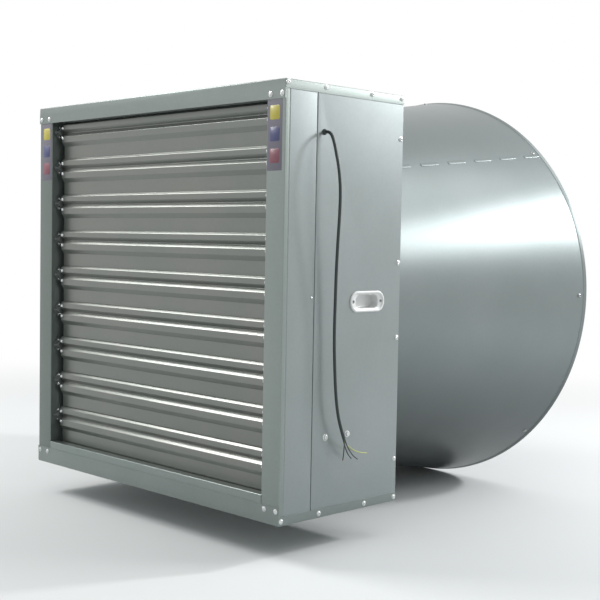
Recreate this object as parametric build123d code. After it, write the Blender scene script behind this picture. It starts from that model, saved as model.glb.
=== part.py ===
from build123d import *
from math import asin, atan, atan2, cos, degrees, hypot, pi, radians, sin, sqrt, tan
import os

# Cone exhaust fan in a square sheet-steel cabinet, millimetres, +Z up.
# Air enters the louver shutter at -Y and leaves the discharge cone at +Y.
# The origin is the centre of the cabinet's underside.

# Cabinet
cabinet_side = 1380.0
cabinet_depth = 555.0
shutter_depth = 142.0
sheet = 2.0
panel_seam = 2.0
joggle_gap = 1.5
flange_height = 60.0
lip_height = 30.0
return_width = 25.0
upright_width = 84.0
upright_return = 20.0
overrun = 10.0
seat_gap = 0.3
full_turn = 360.0
half_turn = 180.0

# Shutter frame
head_setback = 50.0
head_drop = 6.0
head_lip = 38.0
sill_height = 87.0
sill_ledge = 38.0
sill_lip = 10.0

# Louvers
louver_count = 9
louver_lap = 13.0
louver_sheet = 1.5
louver_tuck = 1.0
louver_end_gap = 21.0
rib_setback = 33.0
rib_depth = 12.0
pivot_setback = 35.0
pivot_drop = 34.0
louver_swing = 85.0
# Front skin of one blade: depth as a share of the rib depth, drop as a share of the blade height
louver_skin_shares = (
    (0.67, 0.0), (0.0, 0.053), (0.0, 0.173), (1.0, 0.253), (1.0, 0.267),
    (0.0, 0.347), (0.0, 0.493), (1.0, 0.6), (1.0, 1.0), (1.5, 1.0),
)

# Louver pivots and linkage
end_plate_width = 28.0
end_plate_height = 58.0
end_plate_sheet = 2.0
pivot_radius = 5.0
pivot_clearance = 0.1
pivot_end_gap = 1.0
bush_flange_width = 46.0
bush_flange_height = 58.0
bush_flange_thickness = 3.0
bush_boss_radius = 10.0
bush_nose_radius = 7.0
bush_boss_length = 13.0
bush_rib_reach = 20.0
bush_rib_height = 6.0
crank_radius = 50.0
crank_width = 14.0
crank_pin_radius = 4.0
crank_pin_overhang = 1.0
open_pivot_clearance = 0.8
link_width = 20.0
link_thickness = 3.0
link_gap = 3.0
link_end = 14.0

# Rocker shaft that turns the push rod's stroke into louver travel
rocker_setback = 185.0
rocker_radius = 10.0
rocker_overhang = 20.0
rocker_nose_radius = 7.0
rocker_lever_width = 10.0
rocker_lever_radius = 3.0
rocker_arm_gap = 1.5
rocker_arm_thickness = 4.0
rocker_bearing_length = 40.0
rocker_bearing_wall = 6.0
rocker_post_offset = 555.0
rocker_post_sheet = 4.0
rocker_foot_depth = 48.0
contact_gap = 0.9
toe_gap = 0.5

# Fan shaft, opener and bearings
shaft_radius = 17.5
shaft_front_setback = 264.0
shaft_rear_setback = 520.0
push_rod_radius = 6.0
push_rod_clearance = 0.05
push_rod_depth = 66.0
push_tip_chamfer = 2.0
push_bore_depth = 76.0
collar_radius = 26.0
collar_thickness = 6.0
collar_setback = 256.0
carrier_radius = 56.0
carrier_thickness = 7.0
carrier_setback = 272.0
carrier_ear_reach = 12.0
carrier_ear_width = 4.0
carrier_ear_clearance = 1.0
weight_pivot_radius = 60.0
weight_toe_length = 38.0
weight_arm_length = 45.0
weight_swing = 45.0
weight_start_angle = 40.0
weight_nose_radius = 4.0
weight_toe_radius = 2.5
weight_arm_radius = 7.0
weight_arm_thickness = 12.0
weight_mass_radius = 14.0
weight_mass_width = 34.0
weight_pin_radius = 4.0
weight_count = 2

# Bearing frame
post_offset = 190.0
post_width = 40.0
post_sheet = 3.0
post_setback = 242.0
bearing_plate_height = 200.0
bearing_plate_thickness = 6.0
bearing_plate_bore_gap = 5.0
housing_length = 84.0
housing_radius = 50.0
housing_bore = 36.0
housing_bore_waist = 30.0
bearing_width = 17.0
bearing_clearance = 0.05

# Motor rail
rail_bolt_drop = 432.0
rail_setback = 190.0
rail_width = 130.0
rail_height = 60.0
rail_sheet = 3.0
rail_bolt_shares = (0.095, 0.885)
rail_bolt_radius = 11.0
rail_bolt_height = 7.0

# Motor
motor_shaft_height = 90.0
motor_base_height = 10.0
motor_radius = 86.0
motor_rear_setback = 375.0
motor_body_length = 135.0
motor_cowl_length = 70.0
motor_cowl_sheet = 3.0
motor_shield_thickness = 14.0
motor_fin_count = 24
motor_fin_depth = 8.0
motor_fin_width = 5.0
motor_bore_clearance = 0.05
motor_shaft_radius = 12.0
motor_foot_width = 170.0
motor_foot_length = 105.0
motor_foot_height = 12.0
motor_web_width = 90.0
motor_core_radius = 76.0
terminal_box_size = 90.0
terminal_box_height = 42.0
terminal_box_corner = 8.0
slide_rail_width = 30.0
slide_rail_length = 120.0
slide_rail_offset = 70.0

# Belt drive
belt_setback = 405.0
belt_top_width = 17.0
belt_bottom_width = 10.6
belt_height = 11.0
belt_gap = 0.4
belt_rise = 1.5
fan_pulley_radius = 185.0
motor_pulley_radius = 57.6
pulley_width = 25.0
pulley_rim = 10.0
pulley_web = 8.0
pulley_hub_radius = 32.0
pulley_hub_length = 40.0
pulley_hole_radius = 36.0
pulley_hole_count = 5

# Impeller
blade_count = 6
blade_tip_gap = 14.0
blade_root_radius = 150.0
blade_tip_chord = 250.0
blade_root_chord = 140.0
blade_tip_angle = 17.0
blade_root_angle = 38.0
blade_camber_share = 0.07
blade_sheet = 2.5
blade_tongue_width = 60.0
blade_tongue_inner = 62.0
blade_tongue_overlap = 50.0
blade_tongue_sheet = 4.0
hub_setback = 476.0
hub_disc_radius = 140.0
hub_disc_thickness = 6.0
hub_boss_radius = 34.0
hub_boss_length = 44.0

# Throat and cone
throat_margin = 54.0
throat_sheet = 2.0
throat_straight = 72.0
throat_flare = 30.0
throat_flange = 24.0
cone_base_step = 10.0
cone_rim_radius = 810.0
cone_length = 995.0
cone_flange = 28.0
hem_thickness = 3.0
hem_width = 16.0
seam_angle = 43.8
seam_tab_count = 7
seam_tab_length = 92.0
seam_tab_first = 33.0
seam_tab_width = 6.0
seam_tab_root = 10.0

# Outlet guard
guard_inset = 10.0
guard_wire_radius = 2.0
guard_wire_gap = 0.1
guard_pitch = 100.0
guard_hoop_width = 20.0
guard_hoop_thickness = 4.0
guard_clip_count = 8
guard_clip_length = 34.0
guard_clip_width = 24.0
guard_clip_thickness = 3.0
rim_screw_setback = 40.0

# Handles
handle_setback = 390.0
handle_length = 166.0
handle_height = 70.0
handle_corner = 33.0
handle_lip = 2.5
cup_length = 112.0
cup_height = 48.0
cup_corner = 20.0
cup_depth = 34.0
cup_wall = 2.0
cup_clearance = 0.5

# Fasteners
screw_radius = 9.0
screw_height = 5.0
screw_taper = 30.0
screw_sides = 8
bolt_sides = 6
lip_screw_shares = (0.018, 0.319, 0.708, 0.978)
edge_screw_shares = (-0.788, -0.184, 0.184, 0.788)
edge_screw_inset = 11.0
lip_screw_inset = 11.0
sill_screw_inset = 15.0
corner_screw_insets = (15.0, 67.0)
corner_screw_drop = 45.0
frame_rivet_radius = 4.0
frame_rivet_height = 2.5
frame_rivet_setback = 129.0
frame_rivet_rise = 18.0

# Cable
cable_radius = 5.0
cable_exit_setback = 174.0
cable_exit_drop = 150.0
grommet_radius = 9.5
grommet_height = 4.0
grommet_neck_radius = 7.5
grommet_neck_length = 8.0
core_radius = 1.8
core_ring_radius = 2.97
# Route of the sheath: distance off the grommet, distance behind the exit, drop below the exit
cable_route = (
    (0.0, 0.0, 0.0), (17.0, 0.0, 0.0), (27.0, 0.0, 20.0), (33.0, 1.0, 46.0), (40.0, 5.0, 82.0),
    (49.0, 11.0, 132.0), (54.0, 16.0, 192.0), (52.0, 17.5, 256.0), (46.0, 19.0, 324.0),
    (41.0, 20.5, 392.0), (36.5, 22.5, 460.0), (33.5, 24.5, 530.0), (31.5, 25.0, 600.0),
    (30.5, 26.5, 670.0), (31.5, 29.5, 740.0), (33.5, 32.0, 800.0), (35.5, 36.5, 855.0),
    (37.0, 44.5, 902.0), (37.0, 57.0, 938.0), (36.0, 73.0, 975.0),
)
# Free ends of the cores, counted in the same way
core_ends = (
    (33.0, 74.0, 1047.0), (35.0, 142.0, 1051.0), (28.0, 194.0, 1038.0), (28.0, 120.0, 1047.0),
)
core_lead_share = 0.16
core_belly_drop = 10.0
# Points along a core: share of the way from its lead to its tip, share of the belly's drop
core_belly_shares = ((0.24, 0.75), (0.52, 1.0), (0.78, 0.6))
# Length of each arc's tangent as a share of the shorter run beside it
arc_share = 0.45

# Places worked out from the driving sizes
cabinet_width = cabinet_side
cabinet_height = cabinet_side
half_width = cabinet_width / 2
axis_height = cabinet_height / 2
front = -cabinet_depth / 2
back = cabinet_depth / 2
wall_face = half_width - sheet
wall_inner = wall_face - sheet
liner_inner = wall_inner - sheet
opening_half = half_width - upright_width
opening_top = cabinet_height - flange_height
shutter_back = front + shutter_depth - panel_seam / 2
wall_front = front + shutter_depth + panel_seam / 2
louver_pitch = (opening_top + louver_tuck - sill_height) / louver_count
louver_height = louver_pitch + louver_lap
louver_half = opening_half - louver_end_gap
swing_middle = louver_swing / 2
shaft_front = front + shaft_front_setback
belt_plane = front + belt_setback
rim_plane = back + cone_length
throat_radius = cabinet_side / 2 - throat_margin
cone_base_radius = throat_radius + cone_base_step
blade_tip_radius = throat_radius - blade_tip_gap
cable_exit_height = cabinet_height - cable_exit_drop


def block(x, y, z):
    """Square-cornered solid between the two limits on each axis."""
    middle = Pos((x[0] + x[1]) / 2, (y[0] + y[1]) / 2, (z[0] + z[1]) / 2)
    return middle * Box(x[1] - x[0], y[1] - y[0], z[1] - z[0])


def bar_x(radius, x, y, z):
    """Round bar along X between the two limits in x."""
    return Pos((x[0] + x[1]) / 2, y, z) * Rot(0, 90, 0) * Cylinder(radius, x[1] - x[0])


def bar_y(radius, x, y, z):
    """Round bar along Y between the two limits in y."""
    return Pos(x, (y[0] + y[1]) / 2, z) * Rot(90, 0, 0) * Cylinder(radius, y[1] - y[0])


def bar_z(radius, x, y, z):
    """Round bar along Z between the two limits in z."""
    return Pos(x, y, (z[0] + z[1]) / 2) * Cylinder(radius, z[1] - z[0])


def folded(path, thickness):
    """Closed outline of a folded sheet: the path is one skin, the thickness lies to its right."""
    inner = []
    for index, point in enumerate(path):
        normals = []
        for first, second in ((index - 1, index), (index, index + 1)):
            if 0 <= first and second < len(path):
                run = (path[second][0] - path[first][0], path[second][1] - path[first][1])
                length = hypot(*run)
                normals.append((run[1] / length, -run[0] / length))
        before, after = normals[0], normals[-1]
        miter = thickness / (1 + before[0] * after[0] + before[1] * after[1])
        across = (before[0] + after[0]) * miter
        along = (before[1] + after[1]) * miter
        inner.append((point[0] + across, point[1] + along))
    return list(path) + inner[::-1]


def prism(outline, plane, start, stop):
    """Straight piece of this outline between two places along the plane's normal."""
    face = make_face(Polyline(*outline, close=True))
    return extrude(plane.offset(start) * face, amount=stop - start, dir=plane.z_dir)


def turned(outline, height, arc=full_turn):
    """Outline of radius and setback turned about an axis along Y at this height."""
    face = make_face(Polyline(*outline, close=True))
    return Pos(0, 0, height) * revolve(face, Axis.Y, arc)


def strap(plane, first, second, radius, start, stop):
    """Round-ended strap between two points of the plane, from start to stop along its normal."""
    span = hypot(second[0] - first[0], second[1] - first[1])
    turn = degrees(atan2(second[1] - first[1], second[0] - first[0]))
    middle = Pos((first[0] + second[0]) / 2, (first[1] + second[1]) / 2)
    outline = middle * Rot(0, 0, turn) * SlotCenterToCenter(span, 2 * radius)
    return extrude(plane.offset(start) * outline, amount=stop - start, dir=plane.z_dir)


def about_axis(solid, angle):
    """Solid turned about the fan axis."""
    return Pos(0, 0, axis_height) * Rot(0, angle, 0) * Pos(0, 0, -axis_height) * solid


def left_of(solid):
    """Mirror image on the left side of the cabinet."""
    return mirror(solid, Plane.YZ)


# Cabinet panels

def bottom_panel():
    tray = block((-half_width, half_width), (front, back), (0, flange_height))
    room = block((-wall_face, wall_face), (front + sheet, back + overrun), (sheet, flange_height + overrun))
    trim = block(
        (-half_width - overrun, half_width + overrun), (front + sheet, back + overrun),
        (lip_height, flange_height + overrun),
    )
    return tray - room - trim


def top_panel():
    return mirror(bottom_panel(), Plane.XY.offset(axis_height))


def handle_plane():
    """Plane on the right side panel at the handle: local x runs back along Y, local y up."""
    return Plane(origin=(wall_face, front + handle_setback, axis_height), x_dir=(0, 1, 0), z_dir=(1, 0, 0))


def side_panel():
    path = [
        (wall_face, back), (wall_face, wall_front), (wall_face - return_width, wall_front),
    ]
    wall = prism(folded(path, sheet), Plane.XY, sheet, cabinet_height - sheet)
    mouth = RectangleRounded(cup_length + 2 * cup_clearance, cup_height + 2 * cup_clearance, cup_corner)
    return wall - extrude(handle_plane() * mouth, amount=overrun, both=True)


def right_side_panel():
    cable_hole = bar_x(
        grommet_neck_radius, (wall_inner - overrun, wall_face + overrun),
        front + cable_exit_setback, cable_exit_height,
    )
    return side_panel() - cable_hole


def shutter_panel():
    joggle = front + upright_return + joggle_gap
    path = [
        (wall_inner, front + 2 * sheet), (wall_inner, joggle), (wall_face, joggle + sheet),
        (wall_face, shutter_back), (wall_face - return_width, shutter_back),
    ]
    return prism(folded(path[::-1], sheet), Plane.XY, sheet, cabinet_height - sheet)


def upright():
    path = [
        (wall_face, front + upright_return), (wall_face, front + sheet), (opening_half, front + sheet),
        (opening_half, shutter_back), (opening_half + return_width, shutter_back),
    ]
    return prism(folded(path, sheet), Plane.XY, sheet, cabinet_height - sheet)


def rear_panel():
    tray = block((-wall_inner, wall_inner), (back - return_width, back), (sheet, cabinet_height - sheet))
    room = block(
        (-liner_inner, liner_inner), (back - return_width - overrun, back - sheet),
        (2 * sheet, cabinet_height - 2 * sheet),
    )
    hole = bar_y(throat_radius, 0, (back - return_width, back + overrun), axis_height)
    return tray - room - hole


def shutter_head():
    path = [
        (front + head_setback, opening_top - head_drop), (front + head_setback, cabinet_height - sheet),
        (front + head_setback + head_lip, cabinet_height - sheet),
    ]
    return prism(folded(path, sheet), Plane.YZ, -opening_half, opening_half)


def shutter_sill():
    ledge_front = front + sheet
    path = [
        (ledge_front, sheet), (ledge_front, sill_height), (ledge_front + sill_ledge, sill_height),
        (ledge_front + sill_ledge, sill_height - sill_lip),
    ]
    return prism(folded(path, sheet), Plane.YZ, -opening_half, opening_half)


# Louvers, their pivots and the linkage

def louver_pivot(index):
    """Setback and height of one louver's pivot."""
    top = opening_top + louver_tuck - index * louver_pitch
    return front + pivot_setback, top - pivot_drop


def crank_pin(centre):
    """Centre of the crank pin for a pivot centre, with the louvers closed."""
    angle = radians(-swing_middle)
    return centre[0] + crank_radius * cos(angle), centre[1] + crank_radius * sin(angle)


def diamond(centre, width, height):
    return [
        (centre[0] + width / 2, centre[1]), (centre[0], centre[1] + height / 2),
        (centre[0] - width / 2, centre[1]), (centre[0], centre[1] - height / 2),
    ]


def louver(index):
    pivot = louver_pivot(index)
    top = pivot[1] + pivot_drop
    skin = [
        (front + rib_setback + depth * rib_depth, top - drop * louver_height)
        for depth, drop in louver_skin_shares
    ]
    blade = prism(folded(skin[::-1], louver_sheet), Plane.YZ, -louver_half, louver_half)
    plate_stop = louver_half + end_plate_sheet
    pin_stop = opening_half - bush_flange_thickness - pivot_end_gap
    plate = prism(diamond(pivot, end_plate_width, end_plate_height), Plane.YZ, louver_half, plate_stop)
    end = plate + bar_x(pivot_radius, (louver_half, pin_stop), *pivot)
    pin = crank_pin(pivot)
    crank = strap(Plane.YZ, pivot, pin, crank_width / 2, -plate_stop, -louver_half)
    link_stop = plate_stop + link_gap + link_thickness
    crank += bar_x(crank_pin_radius, (-link_stop - crank_pin_overhang, -louver_half), *pin)
    return blade + end + left_of(end) + crank


def louver_bushes():
    flange_start = opening_half - bush_flange_thickness
    boss_start = flange_start - bush_boss_length
    bushes = []
    for index in range(louver_count):
        pivot = louver_pivot(index)
        outline = diamond(pivot, bush_flange_width, bush_flange_height)
        flange = prism(outline, Plane.YZ, flange_start, opening_half)
        cone = Cone(bush_nose_radius, bush_boss_radius, bush_boss_length)
        boss = Pos((boss_start + flange_start) / 2, *pivot) * Rot(0, 90, 0) * cone
        rib_outline = [
            (flange_start, pivot[0] - bush_rib_reach), (flange_start, pivot[0] + bush_rib_reach),
            (boss_start, pivot[0]),
        ]
        rib_bottom = pivot[1] - bush_rib_height / 2
        rib = prism(rib_outline, Plane.XY, rib_bottom, rib_bottom + bush_rib_height)
        bore = bar_x(pivot_radius + pivot_clearance, (boss_start - overrun, flange_start), *pivot)
        bush = flange + boss + rib - bore
        bushes += [bush, left_of(bush)]
    return bushes


def rocker_centre():
    """Setback and height of the rocker shaft: its nose stays level with the fan axis."""
    lever = rocker_lever_length()
    middle_share = (1 + cos(radians(swing_middle))) / 2
    return front + rocker_setback, axis_height - lever * middle_share


def rocker_lever_length():
    """Lever whose stroke over the louver swing equals the stroke of the weights' toes."""
    return weight_toe_length * sin(radians(weight_swing / 2)) / sin(radians(swing_middle))


def push_stroke():
    return 2 * weight_toe_length * sin(radians(weight_swing / 2))


def link_bar():
    start = -louver_half - end_plate_sheet - link_gap - link_thickness
    stop = start + link_thickness
    first = crank_pin(louver_pivot(0))
    last = crank_pin(louver_pivot(louver_count - 1))
    drive = crank_pin(rocker_centre())
    bar = block(
        (start, stop), (first[0] - link_width / 2, first[0] + link_width / 2),
        (last[1] - link_end, first[1] + link_end),
    )
    bar += strap(Plane.YZ, (first[0], drive[1]), drive, link_width / 2, start, stop)
    for index in range(louver_count):
        clearance = pivot_clearance if index == 0 else open_pivot_clearance
        hole = crank_pin(louver_pivot(index))
        bar -= bar_x(crank_pin_radius + clearance, (start - overrun, stop + overrun), *hole)
    return bar - bar_x(crank_pin_radius + open_pivot_clearance, (start - overrun, stop + overrun), *drive)


def rocker_arm():
    """Outer and inner face of the rocker's arm, inboard of the link bar."""
    outer = -louver_half - end_plate_sheet - link_gap + rocker_arm_gap
    return outer, outer + rocker_arm_thickness


def rocker_shaft():
    centre = rocker_centre()
    lever_angle = radians(90 - swing_middle)
    lever = rocker_lever_length()
    nose = (centre[0] + lever * cos(lever_angle), centre[1] + lever * sin(lever_angle))
    outer, inner = rocker_arm()
    shaft = bar_x(rocker_radius, (outer, rocker_overhang), *centre)
    half = rocker_lever_width / 2
    shaft += strap(Plane.YZ, centre, nose, rocker_lever_radius, -half, half)
    shaft += bar_x(rocker_nose_radius, (-half, half), *nose)
    pin = crank_pin(centre)
    shaft += strap(Plane.YZ, centre, pin, crank_width / 2, outer, inner)
    pin_stop = outer - rocker_arm_gap - link_thickness - crank_pin_overhang
    return shaft + bar_x(crank_pin_radius, (pin_stop, outer), *pin)


def rocker_brackets():
    """Post that stands on the motor rail beside the arm, and hanger on the left support post."""
    centre = rocker_centre()
    bore_radius = rocker_radius + pivot_clearance
    boss_radius = bore_radius + rocker_bearing_wall
    bore = bar_x(bore_radius, (-half_width, overrun), *centre)
    left = -rocker_post_offset - rocker_bearing_length / 2
    right = left + rocker_bearing_length
    rail_front = front + rail_setback
    post = block((left, right), (rail_front, rail_front + rocker_post_sheet), (rail_top(), centre[1]))
    post += block(
        (left, right), (rail_front, rail_front + rocker_foot_depth),
        (rail_top(), rail_top() + rocker_post_sheet),
    )
    post += bar_x(boss_radius, (left, right), *centre)
    hanger_half = post_width / 2 - sheet
    near, far = -post_offset - hanger_half, -post_offset + hanger_half
    hanger = block(
        (near, far), (centre[0], front + post_setback),
        (centre[1] - boss_radius, centre[1] + boss_radius),
    )
    hanger += bar_x(boss_radius, (near, far), *centre)
    return [post - bore, hanger - bore]


# Opener on the nose of the fan shaft

def weight_pivot():
    """Radius and setback of a flyweight's hinge, set so that its toe bears on the collar."""
    reach = weight_toe_length * sin(radians(weight_swing / 2))
    toe_plane = front + collar_setback + collar_thickness + toe_gap
    return weight_pivot_radius, toe_plane + weight_nose_radius - reach


def push_rod():
    tip = nose_face() + contact_gap
    collar = front + collar_setback
    far = collar + collar_thickness
    outline = [
        (0, tip), (push_rod_radius - push_tip_chamfer, tip), (push_rod_radius, tip + push_tip_chamfer),
        (push_rod_radius, collar), (collar_radius, collar), (collar_radius, far),
        (push_rod_radius, far), (push_rod_radius, shaft_front + push_rod_depth),
        (0, shaft_front + push_rod_depth),
    ]
    return turned(outline, axis_height)


def nose_face():
    """Rearmost reach of the rocker's nose with the louvers closed."""
    reach = rocker_lever_length() * sin(radians(swing_middle))
    return rocker_centre()[0] + reach + rocker_nose_radius


def flyweight():
    hinge = weight_pivot()
    toe_angle = radians(half_turn - weight_swing / 2)
    arm_angle = radians(weight_start_angle - 90)
    toe = (hinge[0] + weight_toe_length * cos(toe_angle), hinge[1] + weight_toe_length * sin(toe_angle))
    mass = (hinge[0] + weight_arm_length * cos(arm_angle), hinge[1] + weight_arm_length * sin(arm_angle))
    half = weight_arm_thickness / 2
    lever = strap(Plane.XY, hinge, toe, weight_toe_radius, -half, half)
    lever += bar_z(weight_nose_radius, *toe, (-half, half))
    lever += bar_z(weight_arm_radius, *hinge, (-half, half))
    lever += strap(Plane.XY, hinge, mass, weight_arm_radius, -half, half)
    lever += bar_z(weight_mass_radius, *mass, (-weight_mass_width / 2, weight_mass_width / 2))
    ear = half + carrier_ear_clearance + carrier_ear_width
    lever += bar_z(weight_pin_radius, *hinge, (-ear, ear))
    return Pos(0, 0, axis_height) * lever


def weight_carrier():
    face = front + carrier_setback
    disc = bar_y(carrier_radius, 0, (face, face + carrier_thickness), axis_height)
    hinge = weight_pivot()
    ear_start = weight_arm_thickness / 2 + carrier_ear_clearance
    ear_radius = carrier_ear_reach - weight_nose_radius
    foot = face + carrier_thickness - ear_radius
    ear = strap(Plane.XY, hinge, (hinge[0], foot), ear_radius, ear_start, ear_start + carrier_ear_width)
    ear += block(
        (shaft_radius + ear_start, hinge[0]), (face, face + carrier_thickness),
        (ear_start, ear_start + carrier_ear_width),
    )
    ear -= bar_z(weight_pin_radius + pivot_clearance, *hinge, (0, weight_mass_width))
    ears = Pos(0, 0, axis_height) * (ear + mirror(ear, Plane.XY))
    carrier = disc
    for index in range(weight_count):
        carrier += about_axis(ears, index * full_turn / weight_count)
    stop = face + carrier_thickness + overrun
    return carrier - bar_y(shaft_radius, 0, (face - overrun, stop), axis_height)


def fan_shaft():
    shaft = bar_y(shaft_radius, 0, (shaft_front, front + shaft_rear_setback), axis_height)
    bore = bar_y(
        push_rod_radius + push_rod_clearance, 0,
        (shaft_front - overrun, shaft_front + push_bore_depth), axis_height,
    )
    return shaft - bore


# Bearing frame and motor rail

def rail_top():
    return axis_height - rail_bolt_drop + rail_height / 2


def motor_rail():
    near, far = front + rail_setback, front + rail_setback + rail_width
    top = rail_top()
    tray = block((-wall_inner, wall_inner), (near, far), (top - rail_height, top))
    room = block(
        (-wall_inner + rail_sheet, wall_inner - rail_sheet), (near + rail_sheet, far - rail_sheet),
        (top - rail_height - overrun, top - rail_sheet),
    )
    return tray - room


def support_posts():
    near = front + post_setback
    far = near + post_width
    inner = post_offset - post_width / 2
    outer = post_offset + post_width / 2
    path = [(outer, near), (inner, near), (inner, far), (outer, far)]
    post = prism(folded(path, post_sheet), Plane.XY, rail_top(), cabinet_height - sheet)
    return [post, left_of(post)]


def bearing_plate():
    near = front + post_setback + post_width
    reach = post_offset + post_width / 2
    plate = block(
        (-reach, reach), (near, near + bearing_plate_thickness),
        (axis_height - bearing_plate_height / 2, axis_height + bearing_plate_height / 2),
    )
    bore_radius = shaft_radius + bearing_plate_bore_gap
    return plate - bar_y(bore_radius, 0, (near - overrun, near + overrun), axis_height)


def bearing_housing():
    near = front + post_setback + post_width + bearing_plate_thickness
    far = near + housing_length
    outline = [
        (housing_bore, near), (housing_radius, near), (housing_radius, far), (housing_bore, far),
        (housing_bore, far - bearing_width), (housing_bore_waist, far - bearing_width),
        (housing_bore_waist, near + bearing_width), (housing_bore, near + bearing_width),
    ]
    return turned(outline, axis_height)


def shaft_bearings():
    near = front + post_setback + post_width + bearing_plate_thickness
    starts = (near, near + housing_length - bearing_width)
    bore = shaft_radius + bearing_clearance
    rings = []
    for start in starts:
        stop = start + bearing_width
        outline = [(bore, start), (housing_bore, start), (housing_bore, stop), (bore, stop)]
        rings.append(turned(outline, axis_height))
    return rings


# Motor

def motor_axis():
    return rail_top() + motor_base_height + motor_shaft_height


def motor_body():
    far = front + motor_rear_setback - motor_shield_thickness
    near = far - motor_body_length
    body = bar_y(motor_core_radius, 0, (near, far), 0)
    for index in range(motor_fin_count):
        fin = block(
            (motor_core_radius - motor_fin_depth, motor_core_radius + motor_fin_depth), (near, far),
            (-motor_fin_width / 2, motor_fin_width / 2),
        )
        body += Rot(0, index * full_turn / motor_fin_count, 0) * fin
    return Pos(0, 0, motor_axis()) * body


def motor_end_shield():
    far = front + motor_rear_setback
    near = far - motor_shield_thickness
    bore = motor_shaft_radius + motor_bore_clearance
    outline = [
        (bore, near), (motor_radius, near), (motor_radius, near + motor_shield_thickness / 2),
        (motor_radius / 2, far), (bore, far),
    ]
    return turned(outline, motor_axis())


def motor_cowl():
    far = front + motor_rear_setback - motor_shield_thickness - motor_body_length
    near = far - motor_cowl_length
    outline = [
        (0, near), (motor_radius - motor_fin_depth, near), (motor_radius, near + motor_fin_depth),
        (motor_radius, far), (motor_radius - motor_cowl_sheet, far),
        (motor_radius - motor_cowl_sheet, near + motor_fin_depth + motor_cowl_sheet),
        (motor_radius - motor_fin_depth, near + motor_cowl_sheet), (0, near + motor_cowl_sheet),
    ]
    return turned(outline, motor_axis())


def motor_feet():
    far = front + motor_rear_setback - motor_shield_thickness
    near = far - motor_foot_length
    bottom = rail_top() + motor_base_height
    top = bottom + motor_foot_height
    foot = block((-motor_foot_width / 2, motor_foot_width / 2), (near, far), (bottom, top))
    foot += block((-motor_web_width / 2, motor_web_width / 2), (near, far), (bottom, motor_axis()))
    saddle = motor_core_radius + motor_fin_depth + seat_gap
    return foot - bar_y(saddle, 0, (near - overrun, far + overrun), motor_axis())


def slide_rails():
    far = front + rail_setback + rail_width
    rails = []
    for side in (-1, 1):
        middle = side * slide_rail_offset
        rails.append(block(
            (middle - slide_rail_width / 2, middle + slide_rail_width / 2), (far - slide_rail_length, far),
            (rail_top(), rail_top() + motor_base_height),
        ))
    return rails


def terminal_box():
    far = front + motor_rear_setback - motor_shield_thickness
    middle = far - motor_body_length / 2
    bottom = motor_axis() + motor_core_radius + motor_fin_depth + seat_gap
    outline = RectangleRounded(terminal_box_size, terminal_box_size, terminal_box_corner)
    return extrude(Pos(0, middle, bottom) * outline, amount=terminal_box_height)


def motor_shaft():
    far = belt_plane + pulley_width / 2
    near = front + motor_rear_setback - motor_shield_thickness
    return bar_y(motor_shaft_radius, 0, (near, far), motor_axis())


# Belt drive

def groove(radius):
    """Radius and setback of the belt groove's corners, from the front wall to the rear wall."""
    top = belt_top_width / 2 + belt_gap
    bottom = belt_bottom_width / 2 + belt_gap
    depth = belt_height - belt_rise + belt_gap
    return [
        (radius, belt_plane - top), (radius - depth, belt_plane - bottom),
        (radius - depth, belt_plane + bottom), (radius, belt_plane + top),
    ]


def fan_pulley():
    near, far = belt_plane - pulley_width / 2, belt_plane + pulley_width / 2
    inner = fan_pulley_radius - belt_height - pulley_rim
    web_near, web_far = belt_plane - pulley_web / 2, belt_plane + pulley_web / 2
    hub_near, hub_far = belt_plane - pulley_hub_length / 2, belt_plane + pulley_hub_length / 2
    outline = [
        (shaft_radius, hub_near), (pulley_hub_radius, hub_near), (pulley_hub_radius, web_near),
        (inner, web_near), (inner, near), (fan_pulley_radius, near),
    ]
    outline += groove(fan_pulley_radius)
    outline += [
        (fan_pulley_radius, far), (inner, far), (inner, web_far),
        (pulley_hub_radius, web_far), (pulley_hub_radius, hub_far), (shaft_radius, hub_far),
    ]
    pulley = turned(outline, axis_height)
    middle = (pulley_hub_radius + inner) / 2
    hole = bar_y(pulley_hole_radius, middle, (near, far), axis_height)
    for index in range(pulley_hole_count):
        pulley -= about_axis(hole, index * full_turn / pulley_hole_count)
    return pulley


def motor_pulley():
    near, far = belt_plane - pulley_width / 2, belt_plane + pulley_width / 2
    outline = [(motor_shaft_radius, near), (motor_pulley_radius, near)]
    outline += groove(motor_pulley_radius)
    outline += [(motor_pulley_radius, far), (motor_shaft_radius, far)]
    return turned(outline, motor_axis())


def v_belt():
    """Belt round both pulleys, a little clear of the groove walls."""
    inner_drop = belt_height - belt_rise
    centre_distance = axis_height - motor_axis()
    big = fan_pulley_radius - inner_drop
    small = motor_pulley_radius - inner_drop
    lean = -asin((big - small) / centre_distance)
    plane = Plane(origin=(0, belt_plane, 0), x_dir=(1, 0, 0), z_dir=(0, -1, 0))
    high = (big * cos(lean), axis_height + big * sin(lean))
    low = (small * cos(lean), motor_axis() + small * sin(lean))
    over = ThreePointArc((-high[0], high[1]), (0, axis_height + big), high)
    down = Line(high, low)
    under = ThreePointArc(low, (0, motor_axis() - small), (-low[0], low[1]))
    up = Line((-low[0], low[1]), (-high[0], high[1]))
    path = plane * Wire([over.edge(), down.edge(), under.edge(), up.edge()])
    start = Plane(origin=path @ 0, x_dir=(0, 1, 0), z_dir=path % 0)
    middle = Vector(0, belt_plane, (axis_height + motor_axis()) / 2)
    side = 1 if start.y_dir.dot(start.origin - middle) > 0 else -1
    section = [
        (-belt_bottom_width / 2, 0), (-belt_top_width / 2, side * belt_height),
        (belt_top_width / 2, side * belt_height), (belt_bottom_width / 2, 0),
    ]
    face = start * make_face(Polyline(*section, close=True))
    return sweep(face, path=path)


# Impeller

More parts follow.
